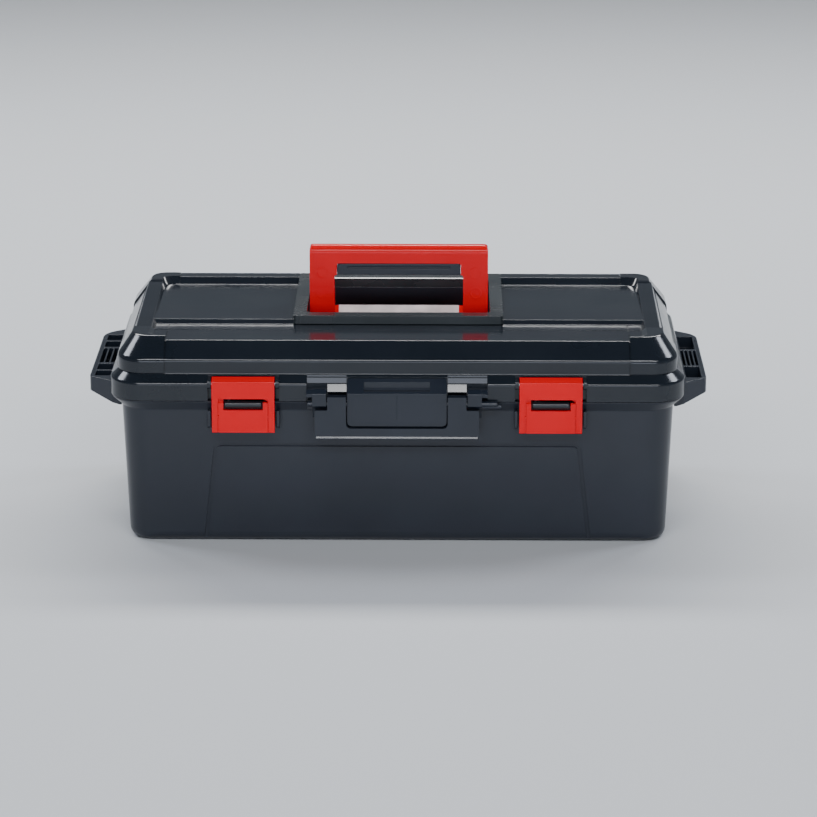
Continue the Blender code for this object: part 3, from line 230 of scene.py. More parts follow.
def block(name, low, high):
    """Box between two corners."""
    return prism(name, [[(low[0], low[1]), (high[0], low[1]), (high[0], high[1]),
                         (low[0], high[1])]], "XY", low[2], high[2])


def rod(name, centre, axis, radius, length, sides=48, round_end=0.0):
    """Round bar with softly rounded ends, as a turned profile."""
    work = bmesh.new()
    half = length / 2
    profile = [(0.0001, -half)]
    steps = 4 if round_end else 0
    for k in range(steps + 1):
        angle = math.radians(90) * (k / steps if steps else 1)
        profile.append((radius - round_end + round_end * math.sin(angle),
                        -half + round_end * (1 - math.cos(angle))))
    profile += [(r, -z) for r, z in reversed(profile)]
    loops = []
    for r, z in profile:
        ring = []
        for k in range(sides):
            angle = 2 * math.pi * k / sides
            ring.append(work.verts.new((r * math.cos(angle), r * math.sin(angle), z)))
        loops.append(ring)
    for lower, upper in zip(loops, loops[1:]):
        for i in range(sides):
            j = (i + 1) % sides
            work.faces.new((lower[i], lower[j], upper[j], upper[i]))
    work.faces.new(reversed(loops[0]))
    work.faces.new(loops[-1])
    bmesh.ops.recalc_face_normals(work, faces=work.faces)
    mesh = bpy.data.meshes.new(name)
    work.to_mesh(mesh)
    work.free()
    turn = {"X": Matrix.Rotation(math.radians(90), 4, "Y"),
            "Y": Matrix.Rotation(math.radians(90), 4, "X"),
            "Z": Matrix.Identity(4)}[axis]
    mesh.transform(Matrix.Translation(centre) @ turn)
    return new_object(name, mesh)


def apply_modifiers(item):
    """Turn an object's modifiers into its mesh."""
    graph = bpy.context.evaluated_depsgraph_get()
    mesh = bpy.data.meshes.new_from_object(item.evaluated_get(graph))
    item.modifiers.clear()
    item.data = mesh


def combine(item, tools, operation):
    """Boolean each tool into item, then remove the tools."""
    for tool in tools:
        step = item.modifiers.new("shape", "BOOLEAN")
        step.operation = operation
        step.solver = "EXACT"
        step.object = tool
    apply_modifiers(item)
    for tool in tools:
        bpy.data.objects.remove(tool, do_unlink=True)
    return item


def cut(item, *tools):
    return combine(item, tools, "DIFFERENCE")


def join(item, *tools):
    return combine(item, tools, "UNION")


def keep_common(item, *tools):
    return combine(item, tools, "INTERSECT")


def edge_round(item, width, segments=3, angle=38, share=None):
    """Round edges sharper than angle. share(point) gives the part of width to use there."""
    work = bmesh.new()
    work.from_mesh(item.data)
    bmesh.ops.remove_doubles(work, verts=work.verts, dist=0.000004)
    bmesh.ops.dissolve_limit(work, angle_limit=math.radians(0.2), verts=work.verts,
                             edges=work.edges)
    if share:
        weights = work.edges.layers.float.new("bevel_weight_edge")
        for edge in work.edges:
            if edge.is_manifold and edge.calc_face_angle() > math.radians(angle):
                edge[weights] = share((edge.verts[0].co + edge.verts[1].co) / 2)
    work.to_mesh(item.data)
    work.free()
    step = item.modifiers.new("edge_round", "BEVEL")
    step.width = width
    step.segments = segments
    step.limit_method = "WEIGHT" if share else "ANGLE"
    step.angle_limit = math.radians(angle)
    step.miter_outer = "MITER_ARC"
    apply_modifiers(item)
    return item


def finish_piece(item, name, body, material, stands_for=(), sharp=50):
    """Shade a piece, give it its material and tie it to its body."""
    item.name = name
    item.data.name = name
    item.data.materials.clear()
    item.data.materials.append(material)
    item.data.polygons.foreach_set("use_smooth", [True] * len(item.data.polygons))
    item.data.set_sharp_from_angle(angle=math.radians(sharp))
    step = item.modifiers.new("face_normals", "WEIGHTED_NORMAL")
    step.keep_sharp = True
    step.weight = 60
    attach(item, body)
    if stands_for:
        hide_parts(*stands_for)
    return item


# ------------------------------------------------------------------ materials


def plastic(name, colour, roughness, grain=0.04, grain_scale=2600.0, spread=0.06,
            tint=0.10, coat=0.0, scratches=0.05, tone_scale=14.0, gleam=0.5):
    """Moulded plastic: fine grain, uneven gloss, faint scratches and tone drift."""
    material = bpy.data.materials.new(name)
    material.use_nodes = True
    nodes = material.node_tree.nodes
    links = material.node_tree.links
    shader = nodes["Principled BSDF"]
    shader.inputs["IOR"].default_value = 1.5
    if coat:
        shader.inputs["Coat Weight"].default_value = coat
        shader.inputs["Coat Roughness"].default_value = 0.06
    shader.inputs["Specular IOR Level"].default_value = gleam
    place = nodes.new("ShaderNodeTexCoord")

    def noise(scale, detail=3.0, stretch=None):
        texture = nodes.new("ShaderNodeTexNoise")
        texture.inputs["Scale"].default_value = scale
        texture.inputs["Detail"].default_value = detail
        source = place.outputs["Object"]
        if stretch:
            mapping = nodes.new("ShaderNodeMapping")
            mapping.inputs["Scale"].default_value = stretch
            links.new(source, mapping.inputs["Vector"])
            source = mapping.outputs["Vector"]
        links.new(source, texture.inputs["Vector"])
        return texture.outputs["Fac"]

    def spread_to(value, low, high, from_low=0.3, from_high=0.7):
        remap = nodes.new("ShaderNodeMapRange")
        remap.inputs["From Min"].default_value = from_low
        remap.inputs["From Max"].default_value = from_high
        remap.inputs["To Min"].default_value = low
        remap.inputs["To Max"].default_value = high
        links.new(value, remap.inputs["Value"])
        return remap.outputs["Result"]

    tone = nodes.new("ShaderNodeMix")
    tone.data_type = "RGBA"
    tone.inputs["A"].default_value = (*[c * (1 - tint) for c in colour], 1)
    tone.inputs["B"].default_value = (*[min(c * (1 + tint) + 0.002, 1) for c in colour], 1)
    links.new(spread_to(noise(tone_scale, 5.0), 0.0, 1.0), tone.inputs["Factor"])
    links.new(tone.outputs["Result"], shader.inputs["Base Color"])

    cloudy = spread_to(noise(22.0, 4.0), roughness - spread / 2, roughness + spread / 2)
    streaks = spread_to(noise(9.0, 3.0, (1.0, 40.0, 40.0)), 0.0, scratches, 0.55, 0.75)
    total = nodes.new("ShaderNodeMath")
    total.operation = "ADD"
    links.new(cloudy, total.inputs[0])
    links.new(streaks, total.inputs[1])
    links.new(total.outputs["Value"], shader.inputs["Roughness"])

    bump = nodes.new("ShaderNodeBump")
    bump.inputs["Strength"].default_value = grain
    bump.inputs["Distance"].default_value = 0.0004
    links.new(noise(grain_scale, 2.0), bump.inputs["Height"])
    links.new(bump.outputs["Normal"], shader.inputs["Normal"])
    return material


def steel(name):
    """Drawn steel pin with fine lengthwise lines."""
    material = plastic(name, (0.50, 0.51, 0.53), 0.28, grain=0.03, spread=0.10)
    material.node_tree.nodes["Principled BSDF"].inputs["Metallic"].default_value = 1.0
    return material


BLACK = plastic("moulded_black", (0.013, 0.017, 0.026), 0.30, grain=0.05, spread=0.03, scratches=0.0)
SATIN_BLACK = plastic("satin_black", (0.013, 0.018, 0.028), 0.20, grain=0.03)
LID_BLACK = plastic("polished_black", (0.010, 0.014, 0.020), 0.14, grain=0.015, spread=0.05,
                    grain_scale=900.0, scratches=0.06)
FRAME_BLACK = plastic("grained_black", (0.024, 0.030, 0.033), 0.24, grain=0.16,
                      grain_scale=900.0, tint=0.25, spread=0.15)
GLOSS_BLACK = plastic("gloss_black", (0.012, 0.014, 0.018), 0.10, grain=0.01)
GRIP_BLACK = plastic("grip_black", (0.016, 0.021, 0.032), 0.35, grain=0.06)
RED = plastic("moulded_red", (0.74, 0.0, 0.006), 0.20, grain=0.03, tint=0.06,
              gleam=0.24)
PALE = plastic("label_pale", (0.84, 0.72, 0.70), 0.42, grain=0.10, grain_scale=700.0,
               tint=0.16, tone_scale=70.0)
STEEL = steel("pin_steel")
TRAY_GREY = plastic("tray_grey", (0.055, 0.060, 0.066), 0.42, grain=0.10, grain_scale=1500.0)

# ----------------------------------------------------------------------- body


def flange_ring(inset_x, inset_y, z):
    """One plan ring, given by its insets from the flange."""
    radius = max(FLANGE_RADIUS - min(inset_x, inset_y), 0.002)
    return (HALF_W - inset_x, HALF_D - inset_y, radius, z)


def make_tub():
    """Drafted tub: outer wall, overhanging rim, lip and hollow in one mesh."""
    base_x, base_y = RIM_X + DRAFT_X, RIM_Y + DRAFT_Y
    wall_top = SEAM_Z - RIM_HEIGHT
    lip_x = lip_y = BAND_INSET + WALL + 0.001
    neck_x, neck_y = lip_x + 0.0025, lip_y + 0.0025
    neck_z = SEAM_Z - 0.012
    wide_x, wide_y = RIM_X + 0.0008 + WALL, RIM_Y + 0.0008 + WALL
    top = SEAM_Z - GAP
    profile = [
        (flange_ring(base_x + 0.02, base_y + 0.02, 0.0), 0),
        (flange_ring(base_x, base_y, 0.0), BASE_ROUND),
        (flange_ring(RIM_X, RIM_Y, wall_top), 0.0012),
        (flange_ring(0.0012, 0.0012, top - 0.0014), 0.0005),
        (flange_ring(0.0006, 0.0006, top), 0.0004),
        (flange_ring(lip_x, lip_y, top), 0.0006),
        (flange_ring(lip_x, lip_y, SEAM_Z + 0.006), 0.0006),
        (flange_ring(neck_x, neck_y, SEAM_Z + 0.006), 0.0006),
        (flange_ring(neck_x, neck_y, neck_z), 0.0015),
        (flange_ring(wide_x, wide_y, neck_z - 0.007), 0.002),
        (flange_ring(base_x + WALL, base_y + WALL, WALL), 0.006),
        (flange_ring(base_x + 0.03, base_y + 0.03, WALL), 0),
    ]
    tub = loft("tub", soften(profile))
    recess_half = 0.0755
    groove_depth = 0.0017
    loops = []
    for inset, foot in ((0.0, -0.020), (0.0030, -0.010)):
        top_z = 0.0885 - inset
        top_half = 0.154 - inset
        foot_half = top_half + 0.115 * (top_z - foot)
        loops.append(rounded([
            (-foot_half, foot, 0), (foot_half, foot, 0),
            (top_half, top_z, 0.006 - inset), (-top_half, top_z, 0.006 - inset)]))
    groove = prism("groove", loops, "XZ", -0.01, groove_depth)
    tilt = math.atan2(DRAFT_Y, wall_top)
    groove.data.transform(Matrix.Translation((0, -HALF_D + base_y, 0))
                          @ Matrix.Rotation(tilt, 4, "X"))
    recess = block("recess", (-recess_half, -HALF_D - WALL, wall_top - RIM_HEIGHT),
                   (recess_half, -HALF_D + 0.0055, SEAM_Z + 0.001))
    cut(tub, groove, recess)
    edge_round(tub, 0.0006, 2)
    finish_piece(tub, "tub", "root", BLACK, ["body_shell"])


def make_boss():
    """Block between the carry handle's legs, with a sloped, slotted top."""
    half = 0.0416
    front = -HALF_D - 0.0065
    wall_y = -HALF_D + 0.0055
    low, top, shoulder = SEAM_Z - 0.0195, SEAM_Z + 0.0196, SEAM_Z + 0.0088
    side_view = [
        (front, low), (front, shoulder), (wall_y - 0.0028, top), (wall_y - 0.0008, top),
        (wall_y - 0.0008, SEAM_Z - 0.001), (wall_y + 0.0015, SEAM_Z - 0.001), (wall_y + 0.0015, low),
    ]
    boss = prism("boss", [side_view], "YZ", -half - WALL, half + WALL)
    face = rounded([(-half, low, 0.004), (half, low, 0.004), (half, top + 0.0005, 0.003),
                    (-half, top + 0.0005, 0.003)])
    keep_common(boss, prism("face", [face], "XZ", front - WALL, wall_y + WALL))
    slot_low, slot_high = shoulder + 0.0014, top - 0.0026
    slope = (wall_y - 0.0028 - front) / (top - shoulder)
    slot_y = front + (slot_high - shoulder) * slope
    slot = prism("slot", [rectangle(-0.0277, slot_low, 0.0277, slot_high, 0.0008)],
                 "XZ", front - WALL, slot_y + 0.0003)
    groove = block("groove", (-0.0003, front - WALL, low + 0.006),
                   (0.0003, front + 0.0002, shoulder - 0.002))
    cut(boss, slot, groove)
    edge_round(boss, 0.0005, 3, 25)
    finish_piece(boss, "handle_boss", "root", SATIN_BLACK, (), 24)


def make_ears():
    """Two ears that hold the carry handle's rod."""
    front, wall_y = -HALF_D - 0.007, -HALF_D + 0.0055
    low, top = SEAM_Z - 0.0028, SEAM_Z + 0.0116
    for side, word in ((-1, "left"), (1, "right")):
        edges = sorted((side * 0.0588, side * 0.0708))
        side_view = rounded([
            (front, low, 0.0012), (front, top - 0.0030, 0.0012), (front + 0.004, top, 0.0012),
            (wall_y - 0.001, top, 0), (wall_y - 0.001, SEAM_Z - 0.001, 0),
            (wall_y + 0.0015, SEAM_Z - 0.001, 0), (wall_y + 0.0015, SEAM_Z - 0.015, 0),
            (wall_y - 0.0015, SEAM_Z - 0.015, 0), (front + 0.006, low, 0),
        ], 4)
        ear = prism("ear", [side_view], "YZ", *edges)
        outer = sorted((side * 0.0702, side * 0.0757))
        shelf = [(front + 0.0008, SEAM_Z + 0.0055), (front + 0.0008, top - 0.0034),
                 (front + 0.0042, top - 0.0004), (wall_y - 0.001, top - 0.0004),
                 (wall_y - 0.001, SEAM_Z + 0.0055)]
        join(ear, prism("bracket", [shelf], "YZ", *outer))
        edge_round(ear, 0.0006, 3, 30)
        finish_piece(ear, f"rod_ear_{word}", "root", SATIN_BLACK)


def make_ribs():
    """Guard ribs on the front wall beside each latch."""
    for side, word in ((-1, "left"), (1, "right")):
        for edge, place in ((-1, "a"), (1, "b")):
            middle = side * LATCH_X + edge * 0.0287
            side_view = rounded([
                (-HALF_D - 0.0008, SEAM_Z - RIM_HEIGHT + 0.001, 0),
                (-HALF_D + 0.009, SEAM_Z - RIM_HEIGHT + 0.001, 0),
                (-HALF_D + 0.009, SEAM_Z - 0.0245, 0),
                (-HALF_D - 0.0008, SEAM_Z - 0.0235, 0.003),
            ])
            rib = prism("rib", [side_view], "YZ", middle - 0.0014, middle + 0.0014)
            edge_round(rib, 0.0005, 3, 30)
            finish_piece(rib, f"guard_rib_{word}_{place}", "root", BLACK)


def make_lug(side, word, rows):
    """Ribbed end lug. rows lists (low y, high y, cells across) of its cells."""
    root_x = HALF_W - RIM_X + 0.0015
    edge_x = BODY_HIGH.x
    top, root_low = SEAM_Z + 0.006, SEAM_Z - 0.015
    plan = rounded([
        (root_x, -0.082, 0), (HALF_W, -0.082, 0), (edge_x, -0.067, 0.005), (edge_x, 0.067, 0.022),
        (HALF_W, 0.082, 0), (root_x, 0.082, 0)])
    view = rounded([
        (root_x, root_low, 0), (HALF_W - 0.006, root_low, 0), (edge_x + WALL, top - 0.0115, 0),
        (edge_x + WALL, top, 0), (HALF_W + GAP, top, 0), (HALF_W + GAP, SEAM_Z - 0.001, 0),
        (root_x, SEAM_Z - 0.001, 0)])
    lug = prism("lug", [[(side * x, y) for x, y in plan]], "XY", root_low - WALL, top + WALL)
    keep_common(lug, prism("view", [[(side * x, z) for x, z in view]], "XZ", -0.1, 0.1))
    inner, outer = HALF_W + 0.0028, edge_x - 0.0042
    cells = []
    for low_y, high_y, across in rows:
        pitch = (outer - inner + 0.0014) / across
        for k in range(across):
            ends = sorted((side * (inner + k * pitch), side * (inner + (k + 1) * pitch - 0.0014)))
            turn = min(0.0012, (ends[1] - ends[0]) * 0.4)
            cells.append(prism("cell", [rectangle(ends[0], low_y, ends[1], high_y, turn, 3)],
                               "XY", top - 0.010, top + WALL))
    line = sorted((side * (edge_x - 0.0026), side * (edge_x - 0.0019)))
    cells.append(block("line", (line[0], -0.060, top - 0.0006), (line[1], 0.050, top + WALL)))
    cut(lug, *cells)
    edge_round(lug, 0.0005, 2, 30)
    finish_piece(lug, f"end_lug_{word}", "root", SATIN_BLACK)


def make_knuckles():
    """Hinge knuckles: the middle one on the body, the outer two on the lid."""
    axis_y, axis_z, radius = HINGE_Y, HINGE_Z, 0.0044
    for side, word in ((-1, "left"), (1, "right")):
        middle = side * 0.14
        for place, offset, half, body, lift in (
                ("body", 0.0, 0.0098, "root", -1), ("lid_a", -0.0165, 0.0058, "lid", 1),
                ("lid_b", 0.0165, 0.0058, "lid", 1)):
            x = middle + offset
            knuckle = rod("knuckle", (x, axis_y, axis_z), "X", radius, 2 * half, 40, 0.0004)
            foot_y = HALF_D - 0.0065 if lift < 0 else HALF_D - 0.0015
            foot_z = axis_z - 0.0145 if lift < 0 else axis_z + 0.010
            web = prism("web", [[
                (axis_y, axis_z + lift * radius * 0.97), (axis_y, axis_z + lift * 0.0012),
                (foot_y, axis_z + lift * 0.0012), (foot_y, foot_z)]],
                "YZ", x - half, x + half)
            join(knuckle, web)
            edge_round(knuckle, 0.0003, 2, 40)
            finish_piece(knuckle, f"knuckle_{place}_{word}", body,
                         BLACK if body == "root" else LID_BLACK)
        pin = rod("pin", (middle, axis_y, axis_z), "X", 0.002, 0.047, 32, 0.0004)
        finish_piece(pin, f"rear_hinge_pin_{word}", "lid", STEEL,
                     [f"hinge_pin_{word}"])


def make_catches():
    """Catch bar behind each latch window, a staple with two legs."""
    for word in ("left", "right"):
        low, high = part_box(f"catch_bar_{word}")
        radius = (high.z - low.z) / 2
        middle = (low.x + high.x) / 2
        centre_z = (low.z + high.z) / 2
        bar = rod("bar", (middle, low.y + radius, centre_z), "X", radius, high.x - low.x, 48, 0.001)
        legs = []
        for end in (-1, 1):
            leg_x = middle + end * ((high.x - low.x) / 2 - radius)
            legs.append(rod("leg", (leg_x, (low.y + radius + high.y) / 2, centre_z), "Y",
                            radius * 0.8, high.y - low.y - radius, 24))
        join(bar, *legs)
        finish_piece(bar, f"catch_{word}", "root", GLOSS_BLACK,
                     [f"catch_bar_{word}"])


# ------------------------------------------------------------------------ lid


def top_ring(inset_x, inset_y, z, radius):
    return (HALF_W - inset_x, HALF_D - inset_y, radius, z)


def seam_grooves():
    """Fine grooves that follow the lid's surface beside the corner caps."""
    tools = []
    for side in (-1, 1):
        slabs = []
        low, high = sorted((side * (SEAM_X - 0.0009), side * (SEAM_X + 0.0002)))
        slabs.append(((low, -HALF_D, BAND_LOW_Z - 0.0008), (high, HALF_D, STRIP_Z + WALL)))
        low, high = sorted((side * (SEAM_Y - 0.0009), side * (SEAM_Y + 0.0002)))
        slabs.append(((-HALF_W, low, BAND_LOW_Z - 0.0008), (HALF_W, high, STRIP_Z + WALL)))
        for low, high in slabs:
            shells = []
            for grow in (0.002, -0.0009):
                shells.append(loft("shell", soften([
                    (flange_ring(BAND_INSET - grow, BAND_INSET - grow, BAND_LOW_Z - WALL), 0),
                    (flange_ring(BAND_INSET - grow, BAND_INSET - grow, BAND_TOP_Z), 0.002),
                    (top_ring(TOP_X - grow, TOP_Y - grow, STRIP_Z + grow, TOP_RADIUS + grow), 0.001),
                    (top_ring(TOP_X + 0.012, TOP_Y + 0.012, STRIP_Z + grow, 0.009), 0),
                ], 3)))
            cut(shells[0], shells[1])
            keep_common(shells[0], block("slab", low, high))
            tools.append(shells[0])
    return tools


def make_lid():
    """Lid shell: flange, ledge, band and chamfer, hollow underneath."""
    hollow = BAND_INSET + WALL
    profile = [
        (top_ring(TOP_X + WALL + 0.01, TOP_Y + WALL + 0.01, STRIP_Z - WALL, 0.007), 0),
        (top_ring(TOP_X + WALL, TOP_Y + WALL, STRIP_Z - WALL, 0.017), 0.003),
        (flange_ring(hollow, hollow, BAND_TOP_Z - 0.0015), 0.002),
        (flange_ring(hollow, hollow, SEAM_Z), 0.0005),
        (flange_ring(0.0, 0.0, SEAM_Z), 0.0006),
        (flange_ring(0.0, 0.0, FLANGE_TOP_Z), 0.0016),
        (flange_ring(BAND_INSET, BAND_INSET, BAND_LOW_Z), 0.0009),
        (flange_ring(BAND_INSET, BAND_INSET, BAND_TOP_Z), 0.0022),
        (top_ring(TOP_X, TOP_Y, STRIP_Z, TOP_RADIUS), 0.0013),
        (top_ring(TOP_X + 0.01, TOP_Y + 0.01, STRIP_Z, 0.010), 0),
    ]
    lid = loft("lid", soften(profile))
    tools = [block("recess", (-0.0755, -HALF_D - WALL, SEAM_Z - WALL),
                   (0.0755, -HALF_D + 0.0055, BAND_LOW_Z + 0.0002))]
    for side in (-1, 1):
        middle = side * LATCH_X
        tools.append(block("pocket", (middle - 0.0298, -HALF_D - WALL, SEAM_Z - WALL),
                           (middle + 0.0298, -HALF_D + 0.0065, BAND_LOW_Z + 0.0002)))
    tools.append(block("well", (-0.0806, STEP_Y + 0.0085, STRIP_Z - 0.02),
                       (0.0806, STEP_Y + 0.1250, STRIP_Z + 0.02)))
    cut(lid, *tools, *seam_grooves())
    edge_round(lid, 0.0005, 2)
    finish_piece(lid, "lid", "lid", LID_BLACK, ["lid_shell"])


def make_recess_ledges():
    """Sloped ledges of the lid above the carry handle's hubs."""
    view = rounded([
        (-HALF_D + 0.0060, SEAM_Z + 0.0141, 0), (-HALF_D + 0.0046, SEAM_Z + 0.0143, 0),
        (-HALF_D + 0.0046, SEAM_Z + 0.0150, 0.0003), (-HALF_D + 0.0060, SEAM_Z + 0.0215, 0)])
    wall_y = -HALF_D + 0.0060
    slope = [
        (wall_y, CARRY_Z + 0.0086), (CARRY_Y + 0.0053, CARRY_Z + 0.0086),
        (CARRY_Y + 0.0053, CARRY_Z + 0.0090), (CARRY_Y + 0.0088, CARRY_Z + 0.0149),
        (wall_y, CARRY_Z + 0.0149)]
    for side, word in ((-1, "left"), (1, "right")):
        for outline, high_x, place in ((view, 0.0755, "upper"), (slope, 0.0583, "lower")):
            edges = sorted((side * 0.0421, side * high_x))
            ledge = prism("ledge", [outline], "YZ", *edges)
            edge_round(ledge, 0.0002, 2)
            finish_piece(ledge, f"recess_ledge_{place}_{word}", "lid", LID_BLACK)


def make_lid_top():
    """Rear panel with its step, the side rails and the rear rim."""
    panel_half = RAIL_INNER_X - 0.0005
    base = STRIP_Z - 0.0005
    step = rounded([
        (STEP_Y - 0.0012, base, 0), (STEP_Y - 0.0010, STRIP_Z + 0.0001, 0),
        (STEP_Y + 0.0010, STRIP_Z + 0.0003, 0.0012), (STEP_Y + STEP_RUN, PANEL_Z, 0.0014),
        (RIM_FOOT_Y - 0.001, PANEL_Z, 0.0014), (RIM_FRONT_Y, RAIL_Z, 0.0014),
        (RIM_BACK_Y, RAIL_Z, 0.002), (HALF_D - TOP_Y - 0.0006, STRIP_Z, 0.0),
        (HALF_D - TOP_Y - 0.0012, base, 0),
    ], 6)
    for side, word in ((-1, "left"), (1, "right")):
        edges = sorted((side * (FRAME_HIGH.x - 0.0002), side * panel_half))
        rear = prism("rear", [step], "YZ", *edges)
        edges = sorted((side * (SEAM_X - 0.0002), side * (panel_half + WALL)))
        cut(rear, block("end", (edges[0], RIM_FOOT_Y + 0.0008, PANEL_Z - 0.00005),
                        (edges[1], HALF_D, RAIL_Z + WALL)),
            block("cap_room", (edges[0], RIM_FRONT_Y + 0.0030, STRIP_Z - WALL),
                  (edges[1], HALF_D, RAIL_Z + WALL)))
        edge_round(rear, 0.0002, 2, 50)
        finish_piece(rear, f"rear_panel_{word}", "lid", LID_BLACK)
        view = rounded([
            (RAIL_INNER_X - RAIL_SLOPE, STRIP_Z, 0), (RAIL_INNER_X - RAIL_SLOPE + 0.0004, base, 0),
            (HALF_W - TOP_X - 0.0014, base, 0), (HALF_W - TOP_X - 0.0006, STRIP_Z, 0),
            (RAIL_OUTER_X, RAIL_TOP_Z, 0.0018), (RAIL_INNER_X, RAIL_TOP_Z, 0.0012),
        ], 6)
        rail = prism("rail", [[(side * x, z) for x, z in view]], "XZ",
                     -SEAM_Y + 0.0003, SEAM_Y - 0.0003)
        edge_round(rail, 0.0003, 2, 50)
        for vertex in rail.data.vertices:
            if vertex.co.z > STRIP_Z:
                along = (vertex.co.y + SEAM_Y) / (2 * SEAM_Y)
                height = RAIL_FRONT_RISE + (RAIL_TOP_Z - STRIP_Z - RAIL_FRONT_RISE) * along
                vertex.co.z = STRIP_Z + (vertex.co.z - STRIP_Z) * height / (RAIL_TOP_Z - STRIP_Z)
        finish_piece(rail, f"side_rail_{word}", "lid", LID_BLACK)


def make_corner_cap(side_x, side_y, name):
    """Proud cap round one corner of the lid, with its turned rim on top."""
    front = side_y < 0
    top_z = STRIP_Z + RAIL_FRONT_RISE + 0.0003 if front else RAIL_Z + 0.0008
    slope_x = (TOP_X - BAND_INSET) / (STRIP_Z - BAND_TOP_Z)
    slope_y = (TOP_Y - BAND_INSET) / (STRIP_Z - BAND_TOP_Z)
    rise = top_z - STRIP_Z
    grow = CAP
    profile = [
        (flange_ring(BAND_INSET - grow + 0.02, BAND_INSET - grow + 0.02, BAND_LOW_Z + 0.0003), 0),
        (flange_ring(BAND_INSET - grow, BAND_INSET - grow, BAND_LOW_Z + 0.0003), 0.0006),
        (flange_ring(BAND_INSET - grow, BAND_INSET - grow, BAND_TOP_Z + 0.0004), 0.003),
        (top_ring(TOP_X - grow + rise * slope_x, TOP_Y - grow + rise * slope_y, top_z,
                  TOP_RADIUS + grow - rise), 0.0016),
        (top_ring(TOP_X + 0.012, TOP_Y + 0.012, top_z, 0.009), 0),
    ]
    cap = loft("cap", soften(profile, 7))
    zone_x = sorted((side_x * SEAM_X, side_x * HALF_W))
    zone_y = sorted((side_y * SEAM_Y, side_y * HALF_D))
    keep_common(cap, block("zone", (zone_x[0], zone_y[0], BAND_LOW_Z - WALL),
                           (zone_x[1], zone_y[1], RAIL_Z + WALL)))
    under = [
        (flange_ring(BAND_INSET, BAND_INSET, BAND_LOW_Z - WALL), 0),
        (flange_ring(BAND_INSET, BAND_INSET, BAND_TOP_Z), 0.002),
        (top_ring(TOP_X, TOP_Y, STRIP_Z + 0.0002, TOP_RADIUS), 0.0012),
        (top_ring(TOP_X + 0.012, TOP_Y + 0.012, STRIP_Z + 0.0002, 0.009), 0),
    ]
    pockets = []
    rail_rise = RAIL_FRONT_RISE if front else RAIL_TOP_Z - STRIP_Z
    for z in (STRIP_Z - 0.0005, top_z + 0.001):
        wall_x = RAIL_INNER_X - RAIL_SLOPE + (z - STRIP_Z) * RAIL_SLOPE / rail_rise
        wall_y = HALF_D - TOP_Y - 0.0074 + (z - STRIP_Z) * RAIL_SLOPE / rail_rise
        if not front:
            wall_y = RIM_FOOT_Y - 0.0008 + (z - PANEL_Z) * 1.2
        corner_x, corner_y = side_x * wall_x, side_y * wall_y
        far_y = corner_y - side_y * 0.1
        pockets.append(rounded([
            (0, corner_y, 0), (corner_x, corner_y, 0.011), (corner_x, far_y, 0), (0, far_y, 0)],
            12))
    tools = [loft("under", soften(under)),
             taper("pocket", pockets[0], pockets[1], STRIP_Z - 0.0005, top_z + 0.001)]
    cut(cap, *tools)

    def share(point):
        """Full rounding on the cap's top edges, little at its seams and foot."""
        at_seam = abs(point.x) < SEAM_X + 0.0004 or abs(point.y) < SEAM_Y + 0.0004
        return 0.25 if at_seam or point.z < STRIP_Z + 0.0006 else 1.0

    edge_round(cap, 0.0015, 4, 26, share)
    finish_piece(cap, name.replace("lid_corner", "corner_cap"), "lid",
                 LID_BLACK, [name])


def make_frame():
    """Raised frame round the handle well, and the well itself."""
    half = FRAME_HIGH.x
    border = rectangle(-half, STEP_Y, half, FRAME_HIGH.y, 0.0025)
    well_front, well_rear = STEP_Y + 0.0113, STEP_Y + 0.1223
    opening = rectangle(-0.0780, well_front, 0.0780, well_rear, 0.003)
    rim = prism("rim", [border, opening], "XY", STRIP_Z + 0.0002, RAIL_Z)
    edge_round(rim, 0.0012, 4)
    finish_piece(rim, "well_frame", "lid", FRAME_BLACK, ["handle_frame"])
    bead_view = [(well_rear - 0.0001, RAIL_Z - 0.0010), (well_rear - 0.0001, RAIL_Z + 0.0001),
                 (well_rear + 0.0019, RAIL_Z + 0.00065), (well_rear + 0.0023, RAIL_Z - 0.0010)]
    bead = prism("bead", [bead_view], "YZ", -0.0775, 0.0775)
    edge_round(bead, 0.00015, 2)
    finish_piece(bead, "well_rear_bead", "lid", LID_BLACK)
    floor_z = RAIL_Z - 0.024
    outer = rectangle(-0.0803, well_front - 0.0025, 0.0803, well_rear + 0.0025, 0.005)
    cup = prism("cup", [outer], "XY", floor_z - 0.0025, STRIP_Z + 0.0008)
    cut(cup, prism("hollow", [rectangle(-0.0779, well_front + 0.0001, 0.0779,
                                        well_rear - 0.0001, 0.003)], "XY", floor_z, RAIL_Z))
    edge_round(cup, 0.0008, 3)
    finish_piece(cup, "well_cup", "lid", BLACK)


